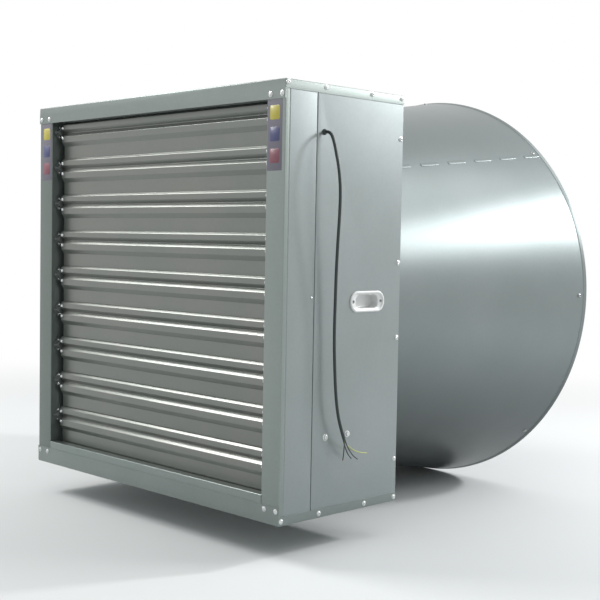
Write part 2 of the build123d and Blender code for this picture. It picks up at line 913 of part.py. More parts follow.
def blade_section(radius, chord, angle):
    """Cambered sheet section at this radius, its hollow side facing downstream."""
    rake = radians(angle)
    plane = Plane(
        origin=(radius, front + hub_setback + hub_disc_thickness + blade_tongue_sheet / 2, axis_height),
        x_dir=(0, sin(rake), cos(rake)), z_dir=(1, 0, 0),
    )
    half = chord / 2
    camber = chord * blade_camber_share
    lower = ThreePointArc((-half, 0), (0, camber), (half, 0))
    upper = ThreePointArc((half, blade_sheet), (0, camber + blade_sheet), (-half, blade_sheet))
    rear = Line((half, 0), (half, blade_sheet))
    nose = Line((-half, blade_sheet), (-half, 0))
    return plane * make_face([lower.edge(), rear.edge(), upper.edge(), nose.edge()])


def impeller_blades():
    root = blade_section(blade_root_radius, blade_root_chord, blade_root_angle)
    tip = blade_section(blade_tip_radius, blade_tip_chord, blade_tip_angle)
    blade = loft([root.face(), tip.face()], ruled=True)
    disc_face = front + hub_setback + hub_disc_thickness
    tongue = block(
        (blade_tongue_inner, blade_root_radius + blade_tongue_overlap),
        (disc_face, disc_face + blade_tongue_sheet),
        (axis_height - blade_tongue_width / 2, axis_height + blade_tongue_width / 2),
    )
    blade = blade + tongue
    return [about_axis(blade, index * full_turn / blade_count) for index in range(blade_count)]


def impeller_hub():
    near = front + hub_setback
    outline = [
        (shaft_radius, near - (hub_boss_length - hub_disc_thickness) / 2),
        (hub_boss_radius, near - (hub_boss_length - hub_disc_thickness) / 2),
        (hub_boss_radius, near), (hub_disc_radius, near), (hub_disc_radius, near + hub_disc_thickness),
        (hub_boss_radius, near + hub_disc_thickness),
        (hub_boss_radius, near + (hub_boss_length + hub_disc_thickness) / 2),
        (shaft_radius, near + (hub_boss_length + hub_disc_thickness) / 2),
    ]
    return turned(outline, axis_height)


# Throat, cone and outlet guard

def throat_ring():
    rear = back - sheet
    bend = rear - throat_straight
    inner, outer = throat_radius, throat_radius + throat_sheet
    flare = throat_flare
    centre = outer + flare
    skin = flare + throat_sheet
    lip = [
        Line((inner, rear), (inner, bend)),
        ThreePointArc(
            (inner, bend), (centre - skin * cos(pi / 4), bend - skin * sin(pi / 4)),
            (centre, bend - skin),
        ),
        Line((centre, bend - skin), (centre, bend - flare)),
        ThreePointArc(
            (centre, bend - flare), (centre - flare * cos(pi / 4), bend - flare * sin(pi / 4)),
            (outer, bend),
        ),
        Line((outer, bend), (outer, rear - throat_sheet)),
        Line((outer, rear - throat_sheet), (outer + throat_flange, rear - throat_sheet)),
        Line((outer + throat_flange, rear - throat_sheet), (outer + throat_flange, rear)),
        Line((outer + throat_flange, rear), (inner, rear)),
    ]
    face = make_face([line.edge() for line in lip])
    return Pos(0, 0, axis_height) * revolve(face, Axis.Y, full_turn)


def cone_slope():
    """Growth in radius for each millimetre along the cone."""
    return (cone_rim_radius - hem_thickness - sheet - cone_base_radius) / cone_length


def cone_inner(y):
    return cone_base_radius + cone_slope() * (y - back)


def cone_shell():
    """One half of the cone with the seam tabs that lap over the other half."""
    hem = rim_plane - hem_width
    outer = cone_base_radius + cone_flange
    outline = [
        (cone_inner(back), back), (cone_inner(rim_plane), rim_plane), (cone_rim_radius, rim_plane),
        (cone_rim_radius, hem), (cone_inner(hem) + sheet, hem),
        (cone_inner(back + sheet) + sheet, back + sheet), (outer, back + sheet), (outer, back),
    ]
    wall = turned(outline, 0, half_turn)
    tab_turn = degrees(seam_tab_width / cone_rim_radius)
    root_turn = degrees(seam_tab_root / cone_rim_radius)
    pitch = cone_length / seam_tab_count
    for index in range(seam_tab_count):
        start = back + index * pitch + seam_tab_first
        stop = start + seam_tab_length
        lap = [
            (cone_inner(start) + sheet, start), (cone_inner(stop) + sheet, stop),
            (cone_inner(stop) + 2 * sheet, stop), (cone_inner(start) + 2 * sheet, start),
        ]
        tab = turned(lap, 0, tab_turn + root_turn)
        wall += Rot(0, -tab_turn, 0) * tab
    return Pos(0, 0, axis_height) * Rot(0, -seam_angle, 0) * wall


def cone_upper_shell():
    return about_axis(cone_shell(), half_turn)


def hoop_planes():
    far = rim_plane - guard_inset
    return far - guard_hoop_width, far


def guard_hoop():
    near, far = hoop_planes()
    outline = [
        (cone_inner(near) - seat_gap, near), (cone_inner(far) - seat_gap, far),
        (cone_inner(near) - seat_gap - guard_hoop_thickness, far),
        (cone_inner(near) - seat_gap - guard_hoop_thickness, near),
    ]
    return turned(outline, axis_height)


def outlet_guard():
    near, far = hoop_planes()
    limit = cone_inner(near) - 2 * seat_gap - guard_hoop_thickness
    rows = int(limit / guard_pitch)
    step = 2 * guard_wire_radius + guard_wire_gap
    middle = (near + far) / 2
    wires = []
    for index in range(-rows, rows + 1):
        offset = index * guard_pitch
        reach = sqrt(limit ** 2 - (abs(offset) + guard_wire_radius) ** 2)
        wires.append(bar_x(guard_wire_radius, (-reach, reach), middle, axis_height + offset))
        span = (axis_height - reach, axis_height + reach)
        wires.append(bar_z(guard_wire_radius, offset, middle + step, span))
    return wires


def guard_clips():
    """Angle clips that hold the hoop inside the rim."""
    near, _ = hoop_planes()
    start = near - guard_clip_length
    clips = []
    inner_start = cone_inner(start) - seat_gap
    inner_near = inner_start + cone_slope() * (near - start)
    path = [
        (inner_start, start), (inner_near, near - seat_gap),
        (inner_near - guard_hoop_thickness - guard_clip_thickness, near - seat_gap),
    ]
    outline = folded(path[::-1], guard_clip_thickness)
    clip = prism(outline, Plane.XY, -guard_clip_width / 2, guard_clip_width / 2)
    clip = Pos(0, 0, axis_height) * clip
    for index in range(guard_clip_count):
        clips.append(about_axis(clip, index * full_turn / guard_clip_count))
    return clips


# Handles, fasteners and cable

def right_handle():
    plane = handle_plane()
    rim = RectangleRounded(handle_length, handle_height, handle_corner)
    cup = RectangleRounded(cup_length, cup_height, cup_corner)
    room = RectangleRounded(cup_length - 2 * cup_wall, cup_height - 2 * cup_wall, cup_corner - cup_wall)
    mouth = handle_lip + overrun
    handle = extrude(plane * rim, amount=handle_lip) + extrude(plane * cup, amount=-cup_depth)
    return handle - extrude(plane.offset(mouth) * room, amount=cup_wall - cup_depth - mouth)


def screw_head(plane, radius, height, sides):
    """Low head with sloping sides, standing on the plane."""
    return extrude(plane * RegularPolygon(radius, sides), amount=height, taper=screw_taper)


def casing_screws():
    heads = []
    side_places = []
    for share in lip_screw_shares:
        y = front + share * cabinet_depth
        side_places += [(half_width, y, sill_screw_inset), (half_width, y, cabinet_height - lip_screw_inset)]
    for share in edge_screw_shares:
        side_places.append((wall_face, back - edge_screw_inset, axis_height + share * axis_height))
    for place in side_places:
        plane = Plane(origin=place, x_dir=(0, 1, 0), z_dir=(1, 0, 0))
        head = screw_head(plane, screw_radius, screw_height, screw_sides)
        heads += [head, left_of(head)]
    for inset in corner_screw_insets:
        for height in (corner_screw_drop, cabinet_height - corner_screw_drop):
            plane = Plane(origin=(half_width - inset, front, height), x_dir=(1, 0, 0), z_dir=(0, -1, 0))
            head = screw_head(plane, screw_radius, screw_height, screw_sides)
            heads += [head, left_of(head)]
    place = (wall_face, front + frame_rivet_setback, axis_height + frame_rivet_rise)
    plane = Plane(origin=place, x_dir=(0, 1, 0), z_dir=(1, 0, 0))
    rivet = screw_head(plane, frame_rivet_radius, frame_rivet_height, screw_sides)
    return heads + [rivet, left_of(rivet)]


def rim_screws():
    place_y = rim_plane - rim_screw_setback
    outer = cone_inner(place_y) + sheet + seat_gap
    lean = atan(cone_slope())
    along = (sin(lean), cos(lean), 0)
    outward = (cos(lean), -sin(lean), 0)
    plane = Plane(origin=(outer, place_y, axis_height), x_dir=along, z_dir=outward)
    head = screw_head(plane, screw_radius, screw_height, screw_sides)
    return [about_axis(head, index * full_turn / guard_clip_count) for index in range(guard_clip_count)]


def rail_bolts():
    heads = []
    for share in rail_bolt_shares:
        place = (wall_face, front + rail_setback + share * rail_width, axis_height - rail_bolt_drop)
        plane = Plane(origin=place, x_dir=(0, 1, 0), z_dir=(1, 0, 0))
        head = extrude(plane * RegularPolygon(rail_bolt_radius, bolt_sides), amount=rail_bolt_height)
        heads += [head, left_of(head)]
    return heads


def cable_grommet():
    y, z = front + cable_exit_setback, cable_exit_height
    flange = bar_x(grommet_radius, (wall_face, wall_face + grommet_height), y, z)
    return flange + bar_x(grommet_neck_radius, (wall_face - grommet_neck_length, wall_face), y, z)


def corner_radii(points):
    """Arc radius at each inner point of a route, as large as its two runs allow."""
    radii = []
    for before, here, after in zip(points, points[1:], points[2:]):
        arriving, leaving = Vector(*here) - Vector(*before), Vector(*after) - Vector(*here)
        turn = radians(arriving.get_angle(leaving))
        radii.append(arc_share * min(arriving.length, leaving.length) / tan(turn / 2))
    return radii


def tube(name, points, radius):
    """Round tube along straight runs joined by tangent arcs."""
    radii = corner_radii(points)
    path = FilletPolyline(*points, radius=radii)
    section = Plane(origin=path @ 0, z_dir=path % 0) * Circle(radius)
    solid = sweep(section, path=path)
    expected = pi * radius ** 2 * path.length
    print(name, "radii", [round(value, 1) for value in radii], "length", round(path.length, 1),
          "volume share", round(solid.volume / expected, 4))
    return solid


def routed(point):
    """Point of the cable's route in the part's own frame, counted from the grommet's face."""
    off, behind, drop = point
    return wall_face + grommet_height + off, front + cable_exit_setback + behind, cable_exit_height - drop


def cable_sheath():
    return tube("cable_sheath", [routed(point) for point in cable_route], cable_radius)


def cable_cores():
    last, before = Vector(*routed(cable_route[-1])), Vector(*routed(cable_route[-2]))
    along = (last - before).normalized()
    across = along.cross(Vector(1, 0, 0)).normalized()
    over = across.cross(along)
    cores = []
    for index, end in enumerate(core_ends):
        angle = radians(45 + index * 90)
        start = last + (across * cos(angle) + over * sin(angle)) * core_ring_radius
        tip = Vector(*routed(end))
        lead = start + along * ((tip - start).length * core_lead_share)
        points = [tuple(start), tuple(lead)]
        for way_share, drop_share in core_belly_shares:
            belly = lead + (tip - lead) * way_share
            points.append((belly.X, belly.Y, belly.Z - drop_share * core_belly_drop))
        points.append(tuple(tip))
        cores.append(tube("core " + str(index + 1), points, core_radius))
    return cores


pieces = {
    "top_panel": top_panel,
    "bottom_panel": bottom_panel,
    "right_side_panel": right_side_panel,
    "left_side_panel": lambda: left_of(side_panel()),
    "right_shutter_panel": shutter_panel,
    "left_shutter_panel": lambda: left_of(shutter_panel()),
    "right_upright": upright,
    "left_upright": lambda: left_of(upright()),
    "shutter_head": shutter_head,
    "shutter_sill": shutter_sill,
    "rear_panel": rear_panel,
    "throat_ring": throat_ring,
    "cone_lower_shell": cone_shell,
    "cone_upper_shell": cone_upper_shell,
    "guard_hoop": guard_hoop,
    "outlet_guard": outlet_guard,
    "guard_clips": guard_clips,
    "motor_rail": motor_rail,
    "support_posts": support_posts,
    "bearing_plate": bearing_plate,
    "bearing_housing": bearing_housing,
    "shaft_bearings": shaft_bearings,
    "motor_body": motor_body,
    "motor_end_shield": motor_end_shield,
    "motor_cowl": motor_cowl,
    "motor_feet": motor_feet,
    "slide_rails": slide_rails,
    "terminal_box": terminal_box,
    "motor_shaft": motor_shaft,
    "motor_pulley": motor_pulley,
    "v_belt": v_belt,
    "fan_shaft": fan_shaft,
    "fan_pulley": fan_pulley,
    "impeller_hub": impeller_hub,
    "impeller_blades": impeller_blades,
    "weight_carrier": weight_carrier,
    "push_rod": push_rod,
    "flyweight_1": flyweight,
    "flyweight_2": lambda: about_axis(flyweight(), half_turn),
    "rocker_shaft": rocker_shaft,
    "rocker_brackets": rocker_brackets,
    "link_bar": link_bar,
    "louver_bushes": louver_bushes,
    "right_handle": right_handle,
    "left_handle": lambda: left_of(right_handle()),
    "casing_screws": casing_screws,
    "rim_screws": rim_screws,
    "rail_bolts": rail_bolts,
    "cable_grommet": cable_grommet,
    "cable_sheath": cable_sheath,
    "cable_cores": cable_cores,
}
for number in range(louver_count):
    pieces["louver_" + str(number + 1)] = lambda index=number: louver(index)

os.makedirs("parts", exist_ok=True)
for name, make in pieces.items():
    made = make()
    solids = []
    for item in made if isinstance(made, list) else [made]:
        solids += item.solids()
    export_step(Compound(children=solids), "parts/" + name + ".step")
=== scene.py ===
"""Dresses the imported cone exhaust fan: finishes, cable, rolled blades, cone, trim and fasteners.

Everything is in metres. X runs to the right when facing the louvers, Y from the louvers to the
cone's outlet, Z up, and the origin is the centre of the cabinet's underside.
"""

import logging
from dataclasses import dataclass
from enum import Enum
from math import cos, hypot, pi, radians, sin, tau
from typing import Any, Mapping, Sequence, Union

import bmesh
import bpy
from mathutils import Matrix, Vector


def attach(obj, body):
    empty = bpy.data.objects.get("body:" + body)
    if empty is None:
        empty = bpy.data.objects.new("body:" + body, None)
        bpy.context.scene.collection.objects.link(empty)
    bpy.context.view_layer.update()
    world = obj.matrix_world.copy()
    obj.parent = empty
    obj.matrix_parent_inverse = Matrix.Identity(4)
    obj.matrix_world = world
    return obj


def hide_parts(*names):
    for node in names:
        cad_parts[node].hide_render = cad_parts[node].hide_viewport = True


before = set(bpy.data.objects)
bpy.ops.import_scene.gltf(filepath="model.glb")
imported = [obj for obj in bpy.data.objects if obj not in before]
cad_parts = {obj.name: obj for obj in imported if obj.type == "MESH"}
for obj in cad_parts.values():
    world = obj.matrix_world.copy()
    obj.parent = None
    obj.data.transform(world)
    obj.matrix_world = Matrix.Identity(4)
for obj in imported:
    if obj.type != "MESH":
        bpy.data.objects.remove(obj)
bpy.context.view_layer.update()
log = logging.getLogger("exhaust_fan")

Point = tuple[float, float, float]
Colour = tuple[float, float, float]
Pair = tuple[float, float]
Flat = list[Pair]
Ring = list[Vector]
Seat = tuple[Point, Point, Point]

SIDES: dict[str, int] = {"right": 1, "left": -1}


# Node trees

class Wire:
    """One output of a node, with arithmetic that adds Math nodes."""

    def __init__(self, sheet: "NodeSheet", socket: bpy.types.NodeSocket) -> None:
        """Keeps the tree and the socket."""
        self.sheet = sheet
        self.socket = socket

    def math(self, operation: str, *operands: Union["Wire", float]) -> "Wire":
        """Adds one Math node."""
        return self.sheet.node("ShaderNodeMath", {"operation": operation}, dict(enumerate(operands)))

    def __add__(self, other: Union["Wire", float]) -> "Wire":
        """Sum."""
        return self.math("ADD", self, other)

    def __radd__(self, other: float) -> "Wire":
        """Sum with a number on the left."""
        return self.math("ADD", other, self)

    def __sub__(self, other: Union["Wire", float]) -> "Wire":
        """Difference."""
        return self.math("SUBTRACT", self, other)

    def __rsub__(self, other: float) -> "Wire":
        """Difference from a number on the left."""
        return self.math("SUBTRACT", other, self)

    def __mul__(self, other: Union["Wire", float]) -> "Wire":
        """Product."""
        return self.math("MULTIPLY", self, other)

    def __rmul__(self, other: float) -> "Wire":
        """Product with a number on the left."""
        return self.math("MULTIPLY", other, self)


Feed = Union[Wire, float, Sequence[float], str, bpy.types.Object, bpy.types.Material]


class NodeSheet:
    """A node tree that is filled by one method."""

    def __init__(self, tree: bpy.types.NodeTree) -> None:
        """Keeps the tree."""
        self.tree = tree

    def node(self, kind: str, settings: Mapping[str, Any], feeds: Mapping[Any, Feed], out: Any = 0) -> Wire:
        """Adds a node.

        Args:
            kind: the node's type.
            settings: its own settings, set first; "stops" holds a colour ramp's stops.
            feeds: values or links of its inputs, by name or place.
            out: name or place of the output that is wanted.

        Returns:
            That output.
        """
        made = self.tree.nodes.new(kind)
        for name, value in settings.items():
            if name == "stops":
                self.set_stops(made.color_ramp, value)
            else:
                setattr(made, name, value)
        for key, value in feeds.items():
            self.feed(self.socket(made.inputs, key), value)
        return Wire(self, self.socket(made.outputs, out))

    def socket(self, sockets: Any, key: Any) -> bpy.types.NodeSocket:
        """Finds a socket by place, or by name among those in use.

        Args:
            sockets: a node's inputs or outputs.
            key: the place or the name.

        Returns:
            The socket.
        """
        if isinstance(key, int):
            return sockets[key]
        return next(socket for socket in sockets if socket.name == key and socket.enabled)

    def feed(self, socket: bpy.types.NodeSocket, value: Feed) -> None:
        """Links a wire or sets a value.

        Args:
            socket: the input.
            value: the wire or value.
        """
        if isinstance(value, Wire):
            self.tree.links.new(value.socket, socket)
        elif socket.type == "RGBA" and len(value) == 3:
            socket.default_value = (*value, 1.0)
        else:
            socket.default_value = value

    def set_stops(self, ramp: bpy.types.ColorRamp, stops: Sequence[tuple[float, Colour]]) -> None:
        """Sets a colour ramp.

        Args:
            ramp: the node's ramp.
            stops: place and colour of each stop.
        """
        while len(ramp.elements) < len(stops):
            ramp.elements.new(1.0)
        for element, (place, colour) in zip(ramp.elements, stops):
            element.position = place
            element.color = (*colour, 1.0)


class ShaderSheet(NodeSheet):
    """A surface's tree, with the patterns that the finishes share."""

    def __init__(self, tree: bpy.types.NodeTree, output: str = "ShaderNodeOutputMaterial") -> None:
        """Empties the tree and adds its output.

        Args:
            tree: a material's or the world's tree.
            output: type of the output node.
        """
        tree.nodes.clear()
        super().__init__(tree)
        self.output = tree.nodes.new(output)

    def place(self, stretch: Point = (1.0, 1.0, 1.0)) -> Wire:
        """Object coordinates, stretched along the axes."""
        where = self.node("ShaderNodeTexCoord", {}, {}, "Object")
        return self.node("ShaderNodeMapping", {}, {"Vector": where, "Scale": stretch})

    def noise(self, scale: float, detail: float = 3.0, stretch: Point = (1.0, 1.0, 1.0)) -> Wire:
        """Soft noise between 0 and 1."""
        feeds = {"Vector": self.place(stretch), "Scale": scale, "Detail": detail}
        return self.node("ShaderNodeTexNoise", {}, feeds, 0)

    def flakes(self, scale: float) -> Wire:
        """Zinc flakes: one shade for each crystal."""
        cell = self.node("ShaderNodeTexVoronoi", {}, {"Vector": self.place(), "Scale": scale}, "Color")
        return self.node("ShaderNodeSeparateColor", {}, {"Color": cell}, 0)

    def below(self, top: float, foot: float) -> Wire:
        """Share that grows from one height down to another, for painted shade that darkens the lower part.

        Args:
            top: height at which it starts.
            foot: height at which it is full.

        Returns:
            A share between 0 and 1.
        """
        height = self.node("ShaderNodeSeparateXYZ", {}, {"Vector": self.place()}, "Z")
        feeds = {"Value": height, "From Min": top, "From Max": foot}
        return self.node("ShaderNodeMapRange", {"interpolation_type": "SMOOTHSTEP"}, feeds)

    def mix(self, share: Union[Wire, float], first: Feed, second: Feed) -> Wire:
        """Mix of two colours."""
        return self.node("ShaderNodeMix", {"data_type": "RGBA"}, {0: share, 6: first, 7: second}, 2)

    def shade(self, colour: Feed, level: Wire) -> Wire:
        """Colour made lighter or darker.

        Args:
            colour: the colour.
            level: its level, 1 for no change.

        Returns:
            The shaded colour.
        """
        grey = self.node("ShaderNodeCombineColor", {}, {"Red": level, "Green": level, "Blue": level})
        settings = {"data_type": "RGBA", "blend_type": "MULTIPLY"}
        return self.node("ShaderNodeMix", settings, {0: 1.0, 6: colour, 7: grey}, 2)

    def bump(self, height: Wire, depth: float, strength: float = 1.0) -> Wire:
        """Bump that feeds a normal."""
        return self.node("ShaderNodeBump", {}, {"Height": height, "Distance": depth, "Strength": strength})

    def end(self, shader: Wire) -> None:
        """Links the shader to the output."""
        self.tree.links.new(shader.socket, self.output.inputs["Surface"])


class GeometrySheet(NodeSheet):
    """A Geometry Nodes tree with named inputs that ends in one plain mesh."""

    def __init__(self, name: str, inputs: Mapping[str, str]) -> None:
        """Makes the tree and its inputs, with the finish as the last.

        Args:
            name: what the tree makes.
            inputs: socket type of each input by its name.
        """
        tree = bpy.data.node_groups.new(name, "GeometryNodeTree")
        super().__init__(tree)
        tree.interface.new_socket("Geometry", in_out="INPUT", socket_type="NodeSocketGeometry")
        self.identifiers: dict[str, str] = {}
        for title, kind in {**inputs, "Finish": "NodeSocketMaterial"}.items():
            socket = tree.interface.new_socket(title, in_out="INPUT", socket_type=kind)
            self.identifiers[title] = socket.identifier
        tree.interface.new_socket("Geometry", in_out="OUTPUT", socket_type="NodeSocketGeometry")
        self.entry = tree.nodes.new("NodeGroupInput")

    def given(self, title: str) -> Wire:
        """One of the tree's inputs."""
        return Wire(self, self.entry.outputs[title])

    def end(self, geometry: Wire) -> None:
        """Realizes the instances and sets the finish.

        Args:
            geometry: the finished geometry.
        """
        plain = self.node("GeometryNodeRealizeInstances", {}, {"Geometry": geometry})
        feeds = {"Geometry": plain, "Material": self.given("Finish")}
        dressed = self.node("GeometryNodeSetMaterial", {}, feeds)
        leave = self.tree.nodes.new("NodeGroupOutput")
        self.tree.links.new(dressed.socket, leave.inputs["Geometry"])

    def grow(self, name: str, seed: bpy.types.Mesh, values: Mapping[str, Any]) -> bpy.types.Object:
        """Runs the tree on a seed mesh and keeps the result as a plain mesh.

        Args:
            name: the new piece's name.
            seed: points or edges that the tree starts from.
            values: value of each input by its name.

        Returns:
            The piece, with no modifier left.
        """
        made = linked(name, seed)
        modifier = made.modifiers.new(name, "NODES")
        modifier.node_group = self.tree
        for title, value in values.items():
            modifier[self.identifiers[title]] = value
        return settled(made)


# Finishes

class Grain(Enum):
    """Direction in which a sheet was rolled, as the stretch of its fine lines."""

    ALONG_X = (1.0, 60.0, 60.0)
    ALONG_Y = (60.0, 1.0, 60.0)
    ALONG_Z = (60.0, 60.0, 1.0)


@dataclass(frozen=True)
class Finish:
    """A surface finish, made into a material once."""

    name: str
    slot: str
    colour: Colour

    def material(self) -> bpy.types.Material:
        """The finish's material, built when it is first asked for."""
        found = bpy.data.materials.get(self.name)
        if found is None:
            found = bpy.data.materials.new(self.name)
            found.use_nodes = True
            sheet = ShaderSheet(found.node_tree)
            sheet.end(sheet.node("ShaderNodeBsdfPrincipled", {}, self.look(sheet)))
        return found

    def look(self, sheet: ShaderSheet) -> dict[str, Feed]:
        """Inputs of the surface shader: a plain colour, which each kind of finish works up."""
        return {"Base Color": self.colour}


@dataclass(frozen=True)
class ZincSheet(Finish):
    """Zinc-coated sheet: clouded tint, faint crystals, rolling lines, gently wavy, with optional painted shade
    towards the bottom.
    """

    tint: Colour = (0.42, 0.44, 0.42)
    roughness: float = 0.34
    grain: Grain = Grain.ALONG_X
    crystals: float = 110.0
    metallic: float = 0.78
    wave: float = 0.006
    # Share of painted shade, and the heights where it starts and where it is full.
    painted_low_shade: float = 0.0
    painted_low_shade_top: float = 0.62
    painted_low_shade_foot: float = 0.12

    def look(self, sheet: ShaderSheet) -> dict[str, Feed]:
        """Clouds, crystals and lines in colour, roughness and bump.

        Args:
            sheet: the material's tree.

        Returns:
            Inputs of the surface shader.
        """
        cloud = sheet.noise(3.2, 2.0)
        flake = sheet.flakes(self.crystals)
        line = sheet.noise(9.0, 4.0, self.grain.value)
        smear = sheet.noise(14.0, 5.0)
        level = 0.90 + cloud * 0.10 + flake * 0.03 + line * 0.03 + smear * 0.03
        # Painted shade: the colour darkens towards the bottom, standing in for the shade on the lower side.
        if self.painted_low_shade:
            level = level * (1.0 - sheet.below(self.painted_low_shade_top, self.painted_low_shade_foot) * (self.painted_low_shade + smear * 0.05))
        colour = sheet.shade(sheet.mix(cloud, self.colour, self.tint), level)
        rough = self.roughness - 0.03 + flake * 0.012 + smear * 0.03 + line * 0.012
        relief = sheet.noise(2.3, 1.0) * 0.9 + line * 0.004 + flake * 0.002
        return {
            "Base Color": colour, "Metallic": self.metallic, "Roughness": rough,
            "Normal": sheet.bump(relief, self.wave, 0.35),
        }


@dataclass(frozen=True)
class BrightSteel(Finish):
    """Turned or plated steel: fine tool lines and handling marks."""

    roughness: float = 0.26
    grain: Grain = Grain.ALONG_Y

    def look(self, sheet: ShaderSheet) -> dict[str, Feed]:
        """Tool lines in bump, marks in roughness.

        Args:
            sheet: the material's tree.

        Returns:
            Inputs of the surface shader.
        """
        mark = sheet.noise(60.0, 5.0)
        line = sheet.noise(30.0, 3.0, self.grain.value)
        return {
            "Base Color": sheet.shade(self.colour, 0.8 + mark * 0.28 + line * 0.1),
            "Metallic": 1.0, "Roughness": self.roughness - 0.05 + mark * 0.16,
            "Normal": sheet.bump(line, 0.0002, 0.25),
        }


@dataclass(frozen=True)
class CastPaint(Finish):
    """Enamel over a casting: orange peel, patchy dust, worn spots."""

    worn: Colour = (0.22, 0.22, 0.22)
    roughness: float = 0.38

    def look(self, sheet: ShaderSheet) -> dict[str, Feed]:
        """Peel in bump, wear in colour.

        Args:
            sheet: the material's tree.

        Returns:
            Inputs of the surface shader.
        """
        peel = sheet.noise(420.0, 2.0)
        dust = sheet.noise(22.0, 6.0)
        spot = sheet.node("ShaderNodeValToRGB", {"stops": [(0.66, (0, 0, 0)), (0.72, (1, 1, 1))]}, {0: dust})
        return {
            "Base Color": sheet.mix(spot, sheet.shade(self.colour, 0.85 + dust * 0.3), self.worn),
            "Metallic": 0.15, "Roughness": self.roughness + dust * 0.15,
            "Normal": sheet.bump(peel, 0.0004, 0.4),
        }


@dataclass(frozen=True)
class Rubber(Finish):
    """Black rubber or soft sheath: low sheen, dust and faint lengthwise drag lines."""

    roughness: float = 0.5

    def look(self, sheet: ShaderSheet) -> dict[str, Feed]:
        """Dust in colour, drag lines in bump.

        Args:
            sheet: the material's tree.

        Returns:
            Inputs of the surface shader.
        """
        dust = sheet.noise(70.0, 6.0)
        drag = sheet.noise(45.0, 3.0, Grain.ALONG_Z.value)
        return {
            "Base Color": sheet.shade(self.colour, 0.75 + dust * 0.6),
            "Roughness": self.roughness - 0.08 + dust * 0.2,
            "Normal": sheet.bump(drag, 0.0003, 0.3),
        }


@dataclass(frozen=True)
class Moulding(Finish):
    """Moulded plastic: fine grain under a soft gloss, slight scuffs."""

    roughness: float = 0.32
    coat: float = 0.25
    metallic: float = 0.0

    def look(self, sheet: ShaderSheet) -> dict[str, Feed]:
        """Grain in bump, scuffs in roughness and colour.

        Args:
            sheet: the material's tree.

        Returns:
            Inputs of the surface shader.
        """
        grain = sheet.noise(900.0, 2.0)
        scuff = sheet.noise(40.0, 6.0)
        return {
            "Base Color": sheet.shade(self.colour, 0.92 + scuff * 0.14),
            "Metallic": self.metallic, "Roughness": self.roughness - 0.06 + scuff * 0.16,
            "Coat Weight": self.coat, "Normal": sheet.bump(grain, 0.0001, 0.25),
        }


zinc_front = ZincSheet("zinc_front_sheet", "galvanised_sheet", (0.222, 0.262, 0.248), (0.245, 0.272, 0.262))
zinc_upright = ZincSheet(
    "zinc_upright_sheet", "galvanised_sheet", (0.235, 0.280, 0.262), (0.26, 0.288, 0.278), grain=Grain.ALONG_Z,
)
# Painted shade: a darker copy of the upright zinc for the left upright, which stands in shade.
zinc_upright_painted_shade = ZincSheet(
    "zinc_far_upright_sheet", "galvanised_sheet", (0.165, 0.197, 0.182), (0.178, 0.203, 0.191),
    grain=Grain.ALONG_Z,
)
zinc_side = ZincSheet(
    "zinc_side_sheet", "side_sheet", (0.256, 0.294, 0.285), (0.283, 0.306, 0.314), 0.36, Grain.ALONG_Z,
)
zinc_louver = ZincSheet(
    "zinc_louver_sheet", "louver_sheet", (0.185, 0.210, 0.194), (0.222, 0.218, 0.205), 0.31, wave=0.0006,
)
# The cone's colour carries painted shade that darkens it towards the bottom.
zinc_cone = ZincSheet(
    "zinc_cone_sheet", "cone_sheet", (0.205, 0.240, 0.235), (0.230, 0.255, 0.260), grain=Grain.ALONG_Y,
    crystals=160.0, wave=0.004, painted_low_shade=0.40,
)
zinc_wire = BrightSteel("zinc_wire", "guard_wire", (0.50, 0.53, 0.52), 0.36)
zinc_section = ZincSheet("zinc_section", "frame_steel", (0.36, 0.39, 0.38), (0.40, 0.42, 0.41), 0.42)
bright_steel = BrightSteel("bright_steel_finish", "bright_steel", (0.58, 0.59, 0.60))
bright_screw = BrightSteel("bright_screw", "zinc_fastener", (0.62, 0.64, 0.64), 0.24, Grain.ALONG_X)
grey_screw = BrightSteel("grey_screw", "zinc_fastener", (0.30, 0.315, 0.31), 0.28, Grain.ALONG_X)
dark_screw = BrightSteel("dark_screw", "zinc_fastener", (0.16, 0.17, 0.17), 0.34)
cast_iron = CastPaint("painted_cast_iron", "cast_iron", (0.055, 0.06, 0.065), (0.14, 0.14, 0.14), 0.45)
motor_enamel = CastPaint("motor_enamel", "motor_paint", (0.045, 0.10, 0.17), (0.10, 0.12, 0.14))
blade_steel = BrightSteel("rolled_blade_steel", "blade_steel", (0.60, 0.62, 0.63), 0.28, Grain.ALONG_Z)
belt_rubber = Rubber("belt_rubber_finish", "belt_rubber", (0.018, 0.018, 0.018), 0.62)
cable_sheath_rubber = Rubber("cable_sheath_rubber", "cable_rubber", (0.018, 0.028, 0.028), 0.42)
core_dark = Moulding("core_insulation_dark", "core_plastic", (0.035, 0.042, 0.04), 0.4)
core_earth = Moulding("core_insulation_earth", "core_plastic", (0.42, 0.46, 0.14), 0.4)
core_copper = BrightSteel("core_copper", "core_plastic", (0.72, 0.38, 0.20), 0.32)
# Painted light: a lighter, matte copy of the zinc that brightens the shaded strip over the louvers.
zinc_head = ZincSheet("zinc_head", "galvanised_sheet", (0.36, 0.42, 0.39), (0.38, 0.42, 0.40), 0.62)
